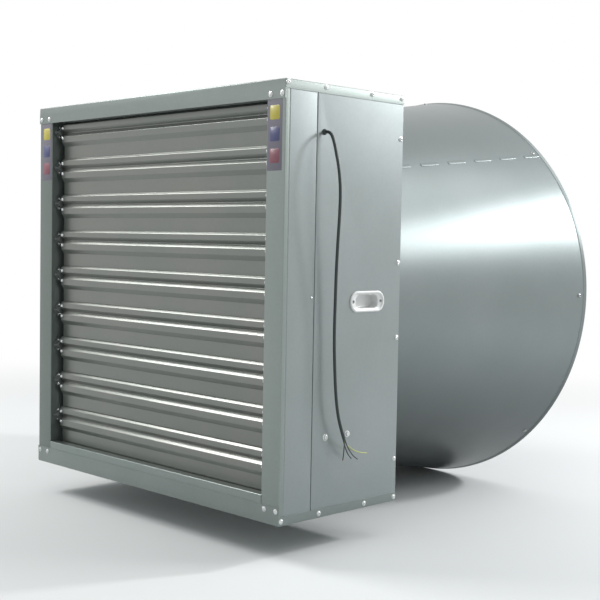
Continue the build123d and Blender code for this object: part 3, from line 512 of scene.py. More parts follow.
# Painted shade: a dark copy of the louver zinc for the end plates, pivots and cranks, which sit in shade.
zinc_bracket = ZincSheet("zinc_bracket", "louver_sheet", (0.10, 0.115, 0.108), (0.13, 0.14, 0.135), 0.36)
handle_plastic = Moulding("handle_moulding", "handle_plastic", (0.70, 0.71, 0.70), 0.3, 0.4, 0.1)
bush_nylon = Moulding("bush_nylon_finish", "bush_nylon", (0.10, 0.115, 0.107), 0.5, 0.1, 0.0)
film_grey = Moulding("film_lilac_grey", "side_sheet", (0.15, 0.14, 0.175), 0.4, 0.1)
film_yellow = Moulding("film_yellow", "side_sheet", (0.50, 0.43, 0.07), 0.4, 0.1)
film_blue = Moulding("film_blue", "side_sheet", (0.06, 0.07, 0.17), 0.4, 0.1)
film_red = Moulding("film_red", "side_sheet", (0.22, 0.07, 0.095), 0.4, 0.1)


# Mesh work

def linked(name: str, data: bpy.types.ID) -> bpy.types.Object:
    """New object in the scene.

    Args:
        name: its name.
        data: its mesh, curve, camera or lamp.

    Returns:
        The object, at the origin.
    """
    made = bpy.data.objects.new(name, data)
    bpy.context.scene.collection.objects.link(made)
    return made


def settled(piece: bpy.types.Object) -> bpy.types.Object:
    """Turns a piece's modifiers into plain mesh.

    Args:
        piece: the piece.

    Returns:
        The same piece, with no modifier left.
    """
    graph = bpy.context.evaluated_depsgraph_get()
    mesh = bpy.data.meshes.new_from_object(piece.evaluated_get(graph), depsgraph=graph)
    piece.modifiers.clear()
    piece.data = mesh
    mesh.name = piece.name
    return piece


def cut(piece: bpy.types.Object, cutter: bpy.types.Object) -> bpy.types.Object:
    """Cuts one solid out of another and removes it.

    Args:
        piece: the piece.
        cutter: the solid to cut out.

    Returns:
        The piece.
    """
    piece.modifiers.new("cut", "BOOLEAN").object = cutter
    settled(piece)
    bpy.data.objects.remove(cutter)
    return piece


def outward(mesh: bpy.types.Mesh) -> None:
    """Merges a mesh's doubles and turns its faces outwards.

    Args:
        mesh: a closed mesh.
    """
    work = bmesh.new()
    work.from_mesh(mesh)
    bmesh.ops.remove_doubles(work, verts=work.verts, dist=1e-6)
    bmesh.ops.recalc_face_normals(work, faces=work.faces)
    work.to_mesh(mesh)
    work.free()


def dress(piece: bpy.types.Object, finish: Finish, body: str, *nodes: str) -> bpy.types.Object:
    """Gives a finished piece its finish, its body and the nodes that it stands for.

    Args:
        piece: an object at the origin, with its place in its mesh.
        finish: its finish.
        body: the body that it rides on.
        nodes: the CAD nodes that it replaces.

    Returns:
        The piece.
    """
    if not piece.data.materials:
        piece.data.materials.append(finish.material())
    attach(piece, body)
    if nodes:
        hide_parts(*nodes)
    log.info("%s: %d faces, rides on %s", piece.name, len(getattr(piece.data, "polygons", ())), body)
    return piece


def coat(finish: Finish, *nodes: str) -> None:
    """Gives CAD nodes that stay a finish.

    Args:
        finish: their finish.
        nodes: their names.
    """
    for name in nodes:
        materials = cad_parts[name].data.materials
        materials.clear()
        materials.append(finish.material())
    log.info("%s on %s", finish.name, ", ".join(nodes))


class Maker:
    """Mesh under construction, in the fan's own frame."""

    def __init__(self) -> None:
        """Starts an empty mesh."""
        self.work = bmesh.new()

    def rings(self, rings: Sequence[Ring], around: bool = False) -> "Maker":
        """Skins a row of rings that have as many points each.

        Args:
            rings: the rings in order.
            around: whether the last ring joins the first; if not, a face closes each of them.

        Returns:
            The maker.
        """
        rows = [[self.work.verts.new(point) for point in ring] for ring in rings]
        pairs = list(zip(rows, rows[1:]))
        if around:
            pairs.append((rows[-1], rows[0]))
        faces = []
        for first, second in pairs:
            for index in range(len(first)):
                after = (index + 1) % len(first)
                faces.append(self.work.faces.new((first[index], first[after], second[after], second[index])))
        if not around:
            faces.append(self.work.faces.new(rows[0]))
            faces.append(self.work.faces.new(rows[-1]))
        bmesh.ops.recalc_face_normals(self.work, faces=faces)
        return self

    def prism_x(self, outline: Flat, start: float, stop: float) -> "Maker":
        """Straight piece along X."""
        return self.rings([[Vector((x, y, z)) for y, z in outline] for x in (start, stop)])

    def plate_y(self, outline: Flat, faces: Sequence[tuple[float, float]]) -> "Maker":
        """Thin plate that faces -Y, its rim stepped through these insets.

        Args:
            outline: x and z of its corners.
            faces: place along Y and inset share of each step.

        Returns:
            The maker.
        """
        middle_x = sum(x for x, _ in outline) / len(outline)
        middle_z = sum(z for _, z in outline) / len(outline)
        rows = []
        for y, inset in faces:
            keep = 1.0 - inset
            rows.append([
                Vector((middle_x + (x - middle_x) * keep, y, middle_z + (z - middle_z) * keep))
                for x, z in outline
            ])
        return self.rings(rows)

    def lathe(self, outline: Flat, seat: Matrix, steps: int, start: float = 0.0, sweep: float = tau) -> "Maker":
        """Outline of radius and height turned about the seat's Z axis.

        Args:
            outline: closed outline, radius and height of each corner.
            seat: where the axis stands.
            steps: number of steps in the sweep.
            start: angle of the first ring.
            sweep: angle swept.

        Returns:
            The maker.
        """
        full = abs(sweep - tau) < 1e-6
        rows = []
        for index in range(steps if full else steps + 1):
            angle = start + sweep * index / steps
            rows.append([
                seat @ Vector((radius * cos(angle), radius * sin(angle), height)) for radius, height in outline
            ])
        return self.rings(rows, around=full)

    def eased(self, width: float, steps: int = 2) -> "Maker":
        """Rounds the sharp edges.

        Args:
            width: width of the rounding.
            steps: its facets.

        Returns:
            The maker.
        """
        sharp = [edge for edge in self.work.edges if edge.calc_face_angle(0.0) > radians(35)]
        bmesh.ops.bevel(
            self.work, geom=sharp, offset=width, segments=steps, affect="EDGES", profile=0.5, clamp_overlap=True,
        )
        return self

    def piece(self, name: str, crease: float = 40.0) -> bpy.types.Object:
        """Ends the work.

        Args:
            name: the piece's name.
            crease: angle in degrees past which an edge stays sharp.

        Returns:
            The piece, shaded smooth between its creases.
        """
        mesh = bpy.data.meshes.new(name)
        self.work.to_mesh(mesh)
        self.work.free()
        smooth(mesh, crease)
        return linked(name, mesh)


def smooth(mesh: bpy.types.Mesh, crease: float, flat: float = 9.0) -> None:
    """Shades a mesh smooth between its creases, and its wide faces flat."""
    mesh.polygons.foreach_set("use_smooth", [face.area < flat for face in mesh.polygons])
    mesh.set_sharp_from_angle(angle=radians(crease))


def seat(origin: Point, axis: Point) -> Matrix:
    """Frame at a point with its Z axis along this direction."""
    turn = Vector(axis).to_track_quat("Z", "Y").to_matrix().to_4x4()
    return Matrix.Translation(origin) @ turn


def rounded(half_width: float, half_height: float, corner: float, steps: int = 6) -> Flat:
    """Outline of a rectangle with round corners, about the origin.

    Args:
        half_width: half its width.
        half_height: half its height.
        corner: radius of its corners.
        steps: steps in each corner.

    Returns:
        Its corners in order.
    """
    outline = []
    for quarter, (sign_x, sign_z) in enumerate(((1, 1), (-1, 1), (-1, -1), (1, -1))):
        for step in range(steps + 1):
            angle = (quarter + step / steps) * pi / 2
            outline.append((
                sign_x * (half_width - corner) + corner * cos(angle),
                sign_z * (half_height - corner) + corner * sin(angle),
            ))
    return outline


def folded(path: Flat, thickness: float) -> Flat:
    """Closed outline of a folded sheet: the path is one skin, the thickness lies to its right.

    Args:
        path: corners of the skin.
        thickness: the sheet's thickness.

    Returns:
        The outline.
    """
    inner = []
    for index, point in enumerate(path):
        normals = []
        for first, second in ((index - 1, index), (index, index + 1)):
            if 0 <= first and second < len(path):
                run = (path[second][0] - path[first][0], path[second][1] - path[first][1])
                length = hypot(*run)
                normals.append((run[1] / length, -run[0] / length))
        before, after = normals[0], normals[-1]
        miter = thickness / (1 + before[0] * after[0] + before[1] * after[1])
        inner.append((point[0] + (before[0] + after[0]) * miter, point[1] + (before[1] + after[1]) * miter))
    return list(path) + inner[::-1]


# Fasteners

class Head(Enum):
    """Kinds of fastener head."""

    DOME_SCREW = "dome_screw"
    FLANGE_BOLT = "flange_bolt"
    RIVET = "rivet"
    SUNK_SCREW = "sunk_screw"


@dataclass
class HeadShop:
    """Makes one template of each head, standing on its seat along Z."""

    screw_radius: float = 0.0090
    screw_height: float = 0.0050
    bolt_radius: float = 0.0115
    bolt_height: float = 0.0070
    rivet_radius: float = 0.0040
    rivet_height: float = 0.0025

    def outline(self, head: Head) -> Flat:
        """Radius and height of a head's skin, from its seat to its crown.

        Args:
            head: the kind of head.

        Returns:
            The outline, closed along the axis.
        """
        if head is Head.RIVET:
            r, h = self.rivet_radius, self.rivet_height
            return [(r, 0.0), (r * 0.86, h * 0.55), (r * 0.5, h * 0.9), (r * 0.05, h), (r * 0.05, 0.0)]
        if head is Head.FLANGE_BOLT:
            r, h = self.bolt_radius, self.bolt_height
            return [
                (r, 0.0), (r, h * 0.16), (r * 0.74, h * 0.26), (r * 0.7, h * 0.82), (r * 0.58, h),
                (r * 0.05, h), (r * 0.05, 0.0),
            ]
        r, h = self.screw_radius, self.screw_height
        if head is Head.SUNK_SCREW:
            return [(r * 0.6, 0.0), (r * 0.55, h * 0.15), (r * 0.05, h * 0.2), (r * 0.05, 0.0)]
        return [
            (r, 0.0), (r, h * 0.18), (r * 0.76, h * 0.3), (r * 0.7, h * 0.62), (r * 0.5, h * 0.88),
            (r * 0.25, h * 0.98), (r * 0.05, h), (r * 0.05, 0.0),
        ]

    def template(self, head: Head) -> bpy.types.Object:
        """Head with its drive, for the scatter tree.

        Args:
            head: the kind of head.

        Returns:
            An object to be removed once it is scattered.
        """
        steps = {Head.RIVET: 8, Head.FLANGE_BOLT: 18, Head.SUNK_SCREW: 12, Head.DOME_SCREW: 16}[head]
        maker = Maker().lathe(self.outline(head), Matrix.Identity(4), steps)
        if head is Head.FLANGE_BOLT:
            for vert in maker.work.verts:
                across = hypot(vert.co.x, vert.co.y)
                if self.bolt_height * 0.2 < vert.co.z and self.bolt_radius * 0.5 < across:
                    angle = Vector((vert.co.x, vert.co.y)).angle_signed(Vector((1.0, 0.0)), 0.0) % (pi / 3)
                    flat = cos(pi / 6) / cos(angle - pi / 6)
                    vert.co.x *= flat
                    vert.co.y *= flat
        piece = maker.piece(head.value + "_template", 30.0)
        if head in (Head.DOME_SCREW, Head.SUNK_SCREW):
            self.cut_cross(piece)
        return piece

    def cut_cross(self, piece: bpy.types.Object) -> None:
        """Cuts the cross recess out of a template's crown.

        Args:
            piece: the template.
        """
        arm, half, floor = self.screw_radius * 0.42, self.screw_radius * 0.09, self.screw_height * 0.1
        top = self.screw_height * 1.2
        cross = [(arm, -half), (arm, half), (half, half), (half, arm), (-half, arm), (-half, half)]
        cross += [(-x, -y) for x, y in cross]
        rows = [[Vector((x * keep, y * keep, z)) for x, y in cross] for z, keep in ((floor, 0.7), (top, 1.1))]
        cut(piece, Maker().rings(rows).piece("cross_cutter"))


class Scatter:
    """Sets copies of a template on points, each turned to its own seat."""

    seed: int = 3

    def __init__(self, heads: HeadShop) -> None:
        """Builds the tree.

        Args:
            heads: makes the templates of the fasteners.
        """
        self.heads = heads
        sheet = GeometrySheet("heads_on_seats", {
            "Head": "NodeSocketObject", "Size": "NodeSocketFloat", "Turn": "NodeSocketFloat",
            "Seed": "NodeSocketInt",
        })
        vector = {"data_type": "FLOAT_VECTOR"}
        facing = sheet.node("GeometryNodeInputNamedAttribute", vector, {"Name": "facing"}, "Attribute")
        along = sheet.node("GeometryNodeInputNamedAttribute", vector, {"Name": "along"}, "Attribute")
        axes = {"primary_axis": "Z", "secondary_axis": "X"}
        stand = sheet.node("FunctionNodeAxesToRotation", axes, {"Primary Axis": facing, "Secondary Axis": along})
        feeds = {"Min": 0.0, "Max": sheet.given("Turn"), "Seed": sheet.given("Seed")}
        angle = sheet.node("FunctionNodeRandomValue", {"data_type": "FLOAT"}, feeds, "Value")
        spin = sheet.node("FunctionNodeAxisAngleToRotation", {}, {"Axis": (0.0, 0.0, 1.0), "Angle": angle})
        feeds = {"Rotation": stand, "Rotate By": spin}
        turned = sheet.node("FunctionNodeRotateRotation", {"rotation_space": "LOCAL"}, feeds)
        head = sheet.node("GeometryNodeObjectInfo", {}, {"Object": sheet.given("Head")}, "Geometry")
        feeds = {
            "Points": sheet.given("Geometry"), "Instance": head, "Rotation": turned,
            "Scale": sheet.given("Size"),
        }
        sheet.end(sheet.node("GeometryNodeInstanceOnPoints", {}, feeds))
        self.sheet = sheet

    def set(
        self, name: str, template: Union[Head, bpy.types.Object], seats: Sequence[Seat], finish: Finish,
        *nodes: str, body: str = "root", size: float = 1.0, turn: float = 0.0,
    ) -> None:
        """Scatters a template, removes it and dresses the copies as one piece.

        Args:
            name: the piece's name.
            template: a kind of head, or the object to copy.
            seats: place, facing and lengthwise direction of each copy.
            finish: the finish.
            nodes: the CAD nodes that it replaces.
            body: the body that it rides on.
            size: scale of the copies.
            turn: largest random turn about the facing, in radians.
        """
        if isinstance(template, Head):
            template = self.heads.template(template)
        mesh = bpy.data.meshes.new(name)
        mesh.from_pydata([place for place, _, _ in seats], [], [])
        for title, row in (("facing", 1), ("along", 2)):
            attribute = mesh.attributes.new(title, "FLOAT_VECTOR", "POINT")
            attribute.data.foreach_set("vector", [part for one in seats for part in one[row]])
        values = {"Head": template, "Size": size, "Turn": turn, "Seed": self.seed, "Finish": finish.material()}
        made = self.sheet.grow(name, mesh, values)
        bpy.data.objects.remove(template)
        dress(made, finish, body, *nodes)


def on_flank(side: int, x: float, y: float, z: float) -> Seat:
    """Seat that faces out to the right, 1, or to the left, -1."""
    return (side * x, y, z), (side, 0.0, 0.0), (0.0, 1.0, 0.0)


def on_face(way: int, place: Point) -> Seat:
    """Seat that faces the front, -1, or the back, 1."""
    return place, (0.0, way, 0.0), (1.0, 0.0, 0.0)


# Folded sheet

class Lay(Enum):
    """Axis that a rolled sheet runs along, as the rows of its turn."""

    ALONG_X = ((0, 0, 1), (1, 0, 0), (0, 1, 0))
    ALONG_Z = ((1, 0, 0), (0, 1, 0), (0, 0, 1))


class Rolling:
    """Rolls an outline to length and rounds its bends."""

    flat_area: float = 0.004

    def __init__(self) -> None:
        """Builds the tree."""
        sheet = GeometrySheet("rolled_sheet", {
            "Start": "NodeSocketFloat", "Stop": "NodeSocketFloat", "Bend": "NodeSocketFloat",
            "Steps": "NodeSocketInt",
        })
        outline = sheet.node("GeometryNodeMeshToCurve", {}, {"Mesh": sheet.given("Geometry")})
        feeds = {
            "Curve": outline, "Radius": sheet.given("Bend"), "Limit Radius": True, "Count": sheet.given("Steps"),
        }
        bent = sheet.node("GeometryNodeFilletCurve", {"mode": "POLY"}, feeds)
        low, high = (
            sheet.node("ShaderNodeCombineXYZ", {}, {"Z": sheet.given(title)}) for title in ("Start", "Stop")
        )
        rail = sheet.node("GeometryNodeCurvePrimitiveLine", {}, {"Start": low, "End": high})
        feeds = {"Curve": rail, "Profile Curve": bent, "Fill Caps": True}
        sheet.end(sheet.node("GeometryNodeCurveToMesh", {}, feeds))
        self.sheet = sheet

    def roll(
        self, name: str, outline: Flat, run: tuple[float, float], lay: Lay, finish: Finish,
        bend: float, steps: int = 5,
    ) -> bpy.types.Object:
        """Rolls one sheet.

        Args:
            name: the piece's name.
            outline: closed outline, the two axes that follow the run's in turn.
            run: where it starts and stops along the run.
            lay: the axis of the run.
            finish: its finish.
            bend: radius of its bends.
            steps: steps in each bend.

        Returns:
            The piece.
        """
        seed = bpy.data.meshes.new(name + "_outline")
        count = len(outline)
        seed.from_pydata([(a, b, 0.0) for a, b in outline], [(i, (i + 1) % count) for i in range(count)], [])
        values = {
            "Start": run[0], "Stop": run[1], "Bend": bend, "Steps": steps, "Finish": finish.material(),
        }
        made = self.sheet.grow(name, seed, values)
        made.data.transform(Matrix(lay.value).to_4x4())
        outward(made.data)
        self.shade(made.data)
        return made

    def shade(self, mesh: bpy.types.Mesh, crease: float = 32.0) -> None:
        """Shades a sheet smooth in its bends, up to this crease in degrees, and flat between them."""
        smooth(mesh, crease, self.flat_area)


# The fan's shared sizes

@dataclass(frozen=True)
class FanPlan:
    """Sizes that more than one sub-assembly reads."""

    side: float = 1.380
    depth: float = 0.555
    shutter: float = 0.142
    seam: float = 0.002
    sheet: float = 0.002
    flange: float = 0.060
    back_fold: float = 0.025
    upright: float = 0.084
    sill: float = 0.087
    louvers: int = 9
    louver_rise: float = 0.001
    pivot_setback: float = 0.035
    pivot_drop: float = 0.034
    cable_setback: float = 0.174
    cable_height: float = 1.230

    @property
    def half(self) -> float:
        """Half the cabinet's width."""
        return self.side / 2

    @property
    def front(self) -> float:
        """Setback of the front face."""
        return -self.depth / 2

    @property
    def back(self) -> float:
        """Setback of the back face."""
        return self.depth / 2

    @property
    def axis(self) -> float:
        """Height of the fan's axis."""
        return self.side / 2

    @property
    def wall(self) -> float:
        """X of the side panel's outer face."""
        return self.half - self.sheet

    @property
    def opening(self) -> float:
        """Half the width between the uprights."""
        return self.half - self.upright

    @property
    def louver_top(self) -> float:
        """Height of the top louver's upper edge, which runs up behind the flange."""
        return self.side - self.flange + self.louver_rise

    @property
    def pitch(self) -> float:
        """Distance from louver to louver."""
        return (self.louver_top - self.sill) / self.louvers

    @property
    def cable_exit(self) -> Pair:
        """Setback and height of the cable's exit."""
        return self.front + self.cable_setback, self.cable_height

    def pivot(self, index: int) -> Pair:
        """Setback and height of a louver's pivot, counted from the top."""
        return self.front + self.pivot_setback, self.louver_top - self.pivot_drop - index * self.pitch


plan = FanPlan()


# Studio

@dataclass
class Studio:
    """Camera at the photograph's place, soft lamps, pale floor and white surroundings."""

    camera_place: Point = (3.19160901, -2.67902551, 0.89314159)
    camera_turn: Point = (45.27478196, -3.09569736, -1.01817511)
    lens: float = 68.027
    floor_height: float = -0.1205
    floor_size: float = 60.0
    floor_colour: Colour = (0.80, 0.81, 0.81)
    sky_colour: Colour = (0.88, 0.93, 0.95)
    sky_strength: float = 0.55
    sweep_near: float = 1.6
    sweep_far: float = 5.5

    def camera(self) -> None:
        """Sets the camera."""
        data = bpy.data.cameras.new("camera")
        data.lens = self.lens
        data.sensor_width = 36.0
        data.clip_start, data.clip_end = 0.05, 200.0
        made = linked("camera", data)
        yaw, pitch, roll = (radians(angle) for angle in self.camera_turn)
        turn = Matrix.Rotation(yaw, 4, "Z") @ Matrix.Rotation(pitch, 4, "X") @ Matrix.Rotation(roll, 4, "Y")
        made.matrix_world = Matrix.Translation(self.camera_place) @ turn @ Matrix.Rotation(pi / 2, 4, "X")
        bpy.context.scene.camera = made

    def lamp(
        self, name: str, place: Point, target: Point, size: Pair, power: float, colour: Colour = (1.0, 1.0, 1.0),
    ) -> None:
        """Adds a soft rectangular lamp.

        Args:
            name: its name.
            place: where it hangs.
            target: what it points at.
            size: its width and height.
            power: its power in watts.
            colour: its colour.
        """
        data = bpy.data.lights.new(name, "AREA")
        data.shape = "RECTANGLE"
        data.size, data.size_y = size
        data.energy = power
        data.color = colour
        made = linked(name, data)
        made.location = place
        made.rotation_euler = (Vector(target) - Vector(place)).to_track_quat("-Z", "Y").to_euler()

    def lamps(self) -> None:
        """Hangs the lamps."""
        self.lamp("blade_lamp", (-3.0, -1.8, 3.7), (0.0, -0.3, 0.7), (2.4, 1.4), 130.0, (1.0, 1.0, 0.98))
        self.lamp("cone_lamp", (3.4, 3.4, 2.88), (0.6, 0.9, 0.9), (2.6, 1.1), 62.0)
        self.lamp("cable_lamp", (2.5, 4.3, 2.67), (0.7, 0.0, 0.9), (0.45, 0.45), 115.0, (0.97, 0.98, 1.0))
        self.lamp("roof_lamp", (2.2, 2.4, 4.4), (0.6, 0.8, 0.8), (2.4, 2.0), 28.0)

    def surroundings(self) -> None:
        """White to the eye and to gloss, softer as light."""
        world = bpy.data.worlds.new("surroundings")
        bpy.context.scene.world = world
        world.use_nodes = True
        sheet = ShaderSheet(world.node_tree, "ShaderNodeOutputWorld")
        seen = self.seen(sheet)
        feeds = {"Color": self.sky_colour, "Strength": self.sky_strength}
        dim = sheet.node("ShaderNodeBackground", {}, feeds)
        white = sheet.node("ShaderNodeBackground", {}, {"Color": (1.0, 1.0, 1.0), "Strength": 1.0})
        sheet.end(sheet.node("ShaderNodeMixShader", {}, {0: seen, 1: dim, 2: white}))

    def seen(self, sheet: ShaderSheet) -> Wire:
        """Share of rays that look at the surroundings: the camera's, and those of gloss and glass.

        Args:
            sheet: the tree.

        Returns:
            1 for such a ray and 0 for others.
        """
        rays = ("Is Camera Ray", "Is Glossy Ray", "Is Transmission Ray")
        eye, gloss, glass = (sheet.node("ShaderNodeLightPath", {}, {}, ray) for ray in rays)
        total = eye + gloss + glass
        return total.math("MINIMUM", total, 1.0)

    def floor(self) -> None:
        """Lays the pale floor under the cone's rim, which runs out to white as a studio's sweep does."""
        half = self.floor_size / 2
        mesh = bpy.data.meshes.new("floor")
        corners = [(-half, -half), (half, -half), (half, half), (-half, half)]
        mesh.from_pydata([(x, y, self.floor_height) for x, y in corners], [], [(0, 1, 2, 3)])
        material = bpy.data.materials.new("pale_floor")
        material.use_nodes = True
        sheet = ShaderSheet(material.node_tree)
        grain = sheet.noise(2.0, 3.0)
        paint = sheet.node("ShaderNodeBsdfPrincipled", {}, {
            "Base Color": sheet.shade(self.floor_colour, 0.98 + grain * 0.03), "Roughness": 0.8,
        })
        away = sheet.node("ShaderNodeVectorMath", {"operation": "LENGTH"}, {0: sheet.place()}, "Value")
        feeds = {"Value": away, "From Min": self.sweep_near, "From Max": self.sweep_far}
        sweep = sheet.node("ShaderNodeMapRange", {"interpolation_type": "SMOOTHSTEP"}, feeds)
        white = sheet.node("ShaderNodeEmission", {}, {"Color": (1.0, 1.0, 1.0), "Strength": 1.0})
        sheet.end(sheet.node("ShaderNodeMixShader", {}, {0: sweep * self.seen(sheet), 1: paint, 2: white}))
        mesh.materials.append(material)
        linked("floor", mesh)

    def build(self) -> None:
        """Sets up the whole studio."""
        bpy.context.scene.view_settings.view_transform = "Standard"
        self.camera()
        self.lamps()
        self.surroundings()
        self.floor()
        log.info("studio set")


# Supply cable

@dataclass
class SupplyCable:
    """Sheathed cable that hangs from its grommet, and its four free cores."""

    radius: float = 0.005
    core_radius: float = 0.0018
    exit_x: float = 0.692
    length: float = 1.0029
    core_lengths: tuple[float, ...] = (0.0721, 0.1041, 0.1418, 0.0880)
    core_ring: float = 0.00297
    lead_share: float = 0.16
    tip_start: float = 0.001
    tip_share: float = 0.62
    tip_skin: tuple[Pair, ...] = ((0.1, 0.0), (1.0, 0.0), (1.05, 0.002), (0.8, 0.004), (0.1, 0.0045))
    grommet_skin: tuple[Pair, ...] = (
        (0.0051, -0.0078), (0.0073, -0.0078), (0.0073, 0.0), (0.0095, 0.0), (0.0095, 0.0014), (0.0091, 0.0026),
        (0.0083, 0.0034), (0.0072, 0.0038), (0.0064, 0.0044), (0.0058, 0.0054), (0.0054, 0.0060),
        (0.0051, 0.0060),
    )
    belly_drop: float = 0.010
    belly_shares: tuple[Pair, ...] = ((0.24, 0.75), (0.52, 1.0), (0.78, 0.6))
    route: tuple[Point, ...] = (
        (0.0, 0.0, 0.0), (0.014, 0.0, 0.0), (0.028, 0.0, 0.010), (0.038, 0.0005, 0.032),
        (0.0455, 0.004, 0.068), (0.053, 0.010, 0.118), (0.056, 0.015, 0.182), (0.052, 0.0175, 0.256),
        (0.046, 0.019, 0.324), (0.041, 0.0205, 0.392), (0.0365, 0.0225, 0.460), (0.0335, 0.0245, 0.530),
        (0.0315, 0.025, 0.600), (0.0305, 0.0265, 0.670), (0.0315, 0.0295, 0.740), (0.0335, 0.032, 0.800),
        (0.0355, 0.0365, 0.855), (0.037, 0.0445, 0.902), (0.037, 0.057, 0.938), (0.036, 0.073, 0.975),
    )
    core_ends: tuple[Point, ...] = (
        (0.033, 0.074, 1.047), (0.035, 0.142, 1.051), (0.028, 0.194, 1.038), (0.028, 0.120, 1.047),
    )

    def routed(self, point: Point) -> Vector:
        """Point in the fan's frame, given as its distance off the grommet, behind the exit and below it."""
        setback, height = plan.cable_exit
        return Vector((self.exit_x + point[0], setback + point[1], height - point[2]))

    def curve(self, name: str, points: Sequence[Vector], radius: float, finish: Finish) -> bpy.types.Object:
        """Round cord along a smooth spline.

        Args:
            name: the cord's name.
            points: the spline's control points.
            radius: the cord's radius.
            finish: its finish.

        Returns:
            The curve object, riding on the root body.
        """
        data = bpy.data.curves.new(name, "CURVE")
        data.dimensions = "3D"
        data.bevel_depth = radius
        data.bevel_resolution = 6
        data.resolution_u = 16
        data.use_fill_caps = True
        spline = data.splines.new("NURBS")
        spline.points.add(len(points) - 1)
        for knot, point in zip(spline.points, points):
            knot.co = (*point, 1.0)
        spline.order_u = 3
        spline.use_endpoint_u = True
        data.materials.append(finish.material())
        made = linked(name, data)
        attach(made, "root")
        return made

    def core_points(self, index: int) -> list[Vector]:
        """Control points of one core.

        Args:
            index: the core.

        Returns:
            Its points, from the sheath's end to its tip.
        """
        last, before = self.routed(self.route[-1]), self.routed(self.route[-2])
        along = (last - before).normalized()
        across = along.cross(Vector((1.0, 0.0, 0.0))).normalized()
        over = across.cross(along)
        angle = radians(45 + index * 90)
        start = last + (across * cos(angle) + over * sin(angle)) * self.core_ring
        tip = self.routed(self.core_ends[index])
        lead = start + along * ((tip - start).length * self.lead_share)
        points = [start, lead]
        for way, drop in self.belly_shares:
            points.append(lead + (tip - lead) * way - Vector((0.0, 0.0, drop * self.belly_drop)))
        return points + [tip]

    def build(self) -> None:
        points = [self.routed(point) for point in self.route]
        sheath = self.curve("supply_cable", points, self.radius, cable_sheath_rubber)
        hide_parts("cable_sheath")
        finishes = (core_dark, core_dark, core_earth, core_dark)
        for index, finish in enumerate(finishes):
            points = self.core_points(index)
            core = self.curve("core_" + str(index + 1), points, self.core_radius, finish)
            tip = self.bare_tip(index, points)
            if index == 0:
                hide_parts("cable_cores")
        self.grommet()
        log.info("supply cable hung")

    def bare_tip(self, index: int, points: Sequence[Vector]) -> bpy.types.Object:
        """Twisted copper bared at a core's end, inside the tube's last millimetres.

        Args:
            index: the core.
            points: the core's control points.

        Returns:
            The tip.
        """
        way = (points[-1] - points[-2]).normalized()
        stand = seat(tuple(points[-1] - way * self.tip_start), tuple(way))
        radius = self.core_radius * self.tip_share
        outline = [(radius * share, height) for share, height in self.tip_skin]
        tip = Maker().lathe(outline, stand, 10).piece("core_tip_" + str(index + 1), 60.0)
        return dress(tip, core_copper, "root")

    def grommet(self) -> None:
        """Rubber grommet with a rolled lip round the cable."""
        stand = seat((plan.wall, *plan.cable_exit), (1.0, 0.0, 0.0))
        piece = Maker().lathe(list(self.grommet_skin), stand, 40).piece("cable_grommet_lip", 50.0)
        dress(piece, cable_sheath_rubber, "root", "cable_grommet")


# Louver shutter

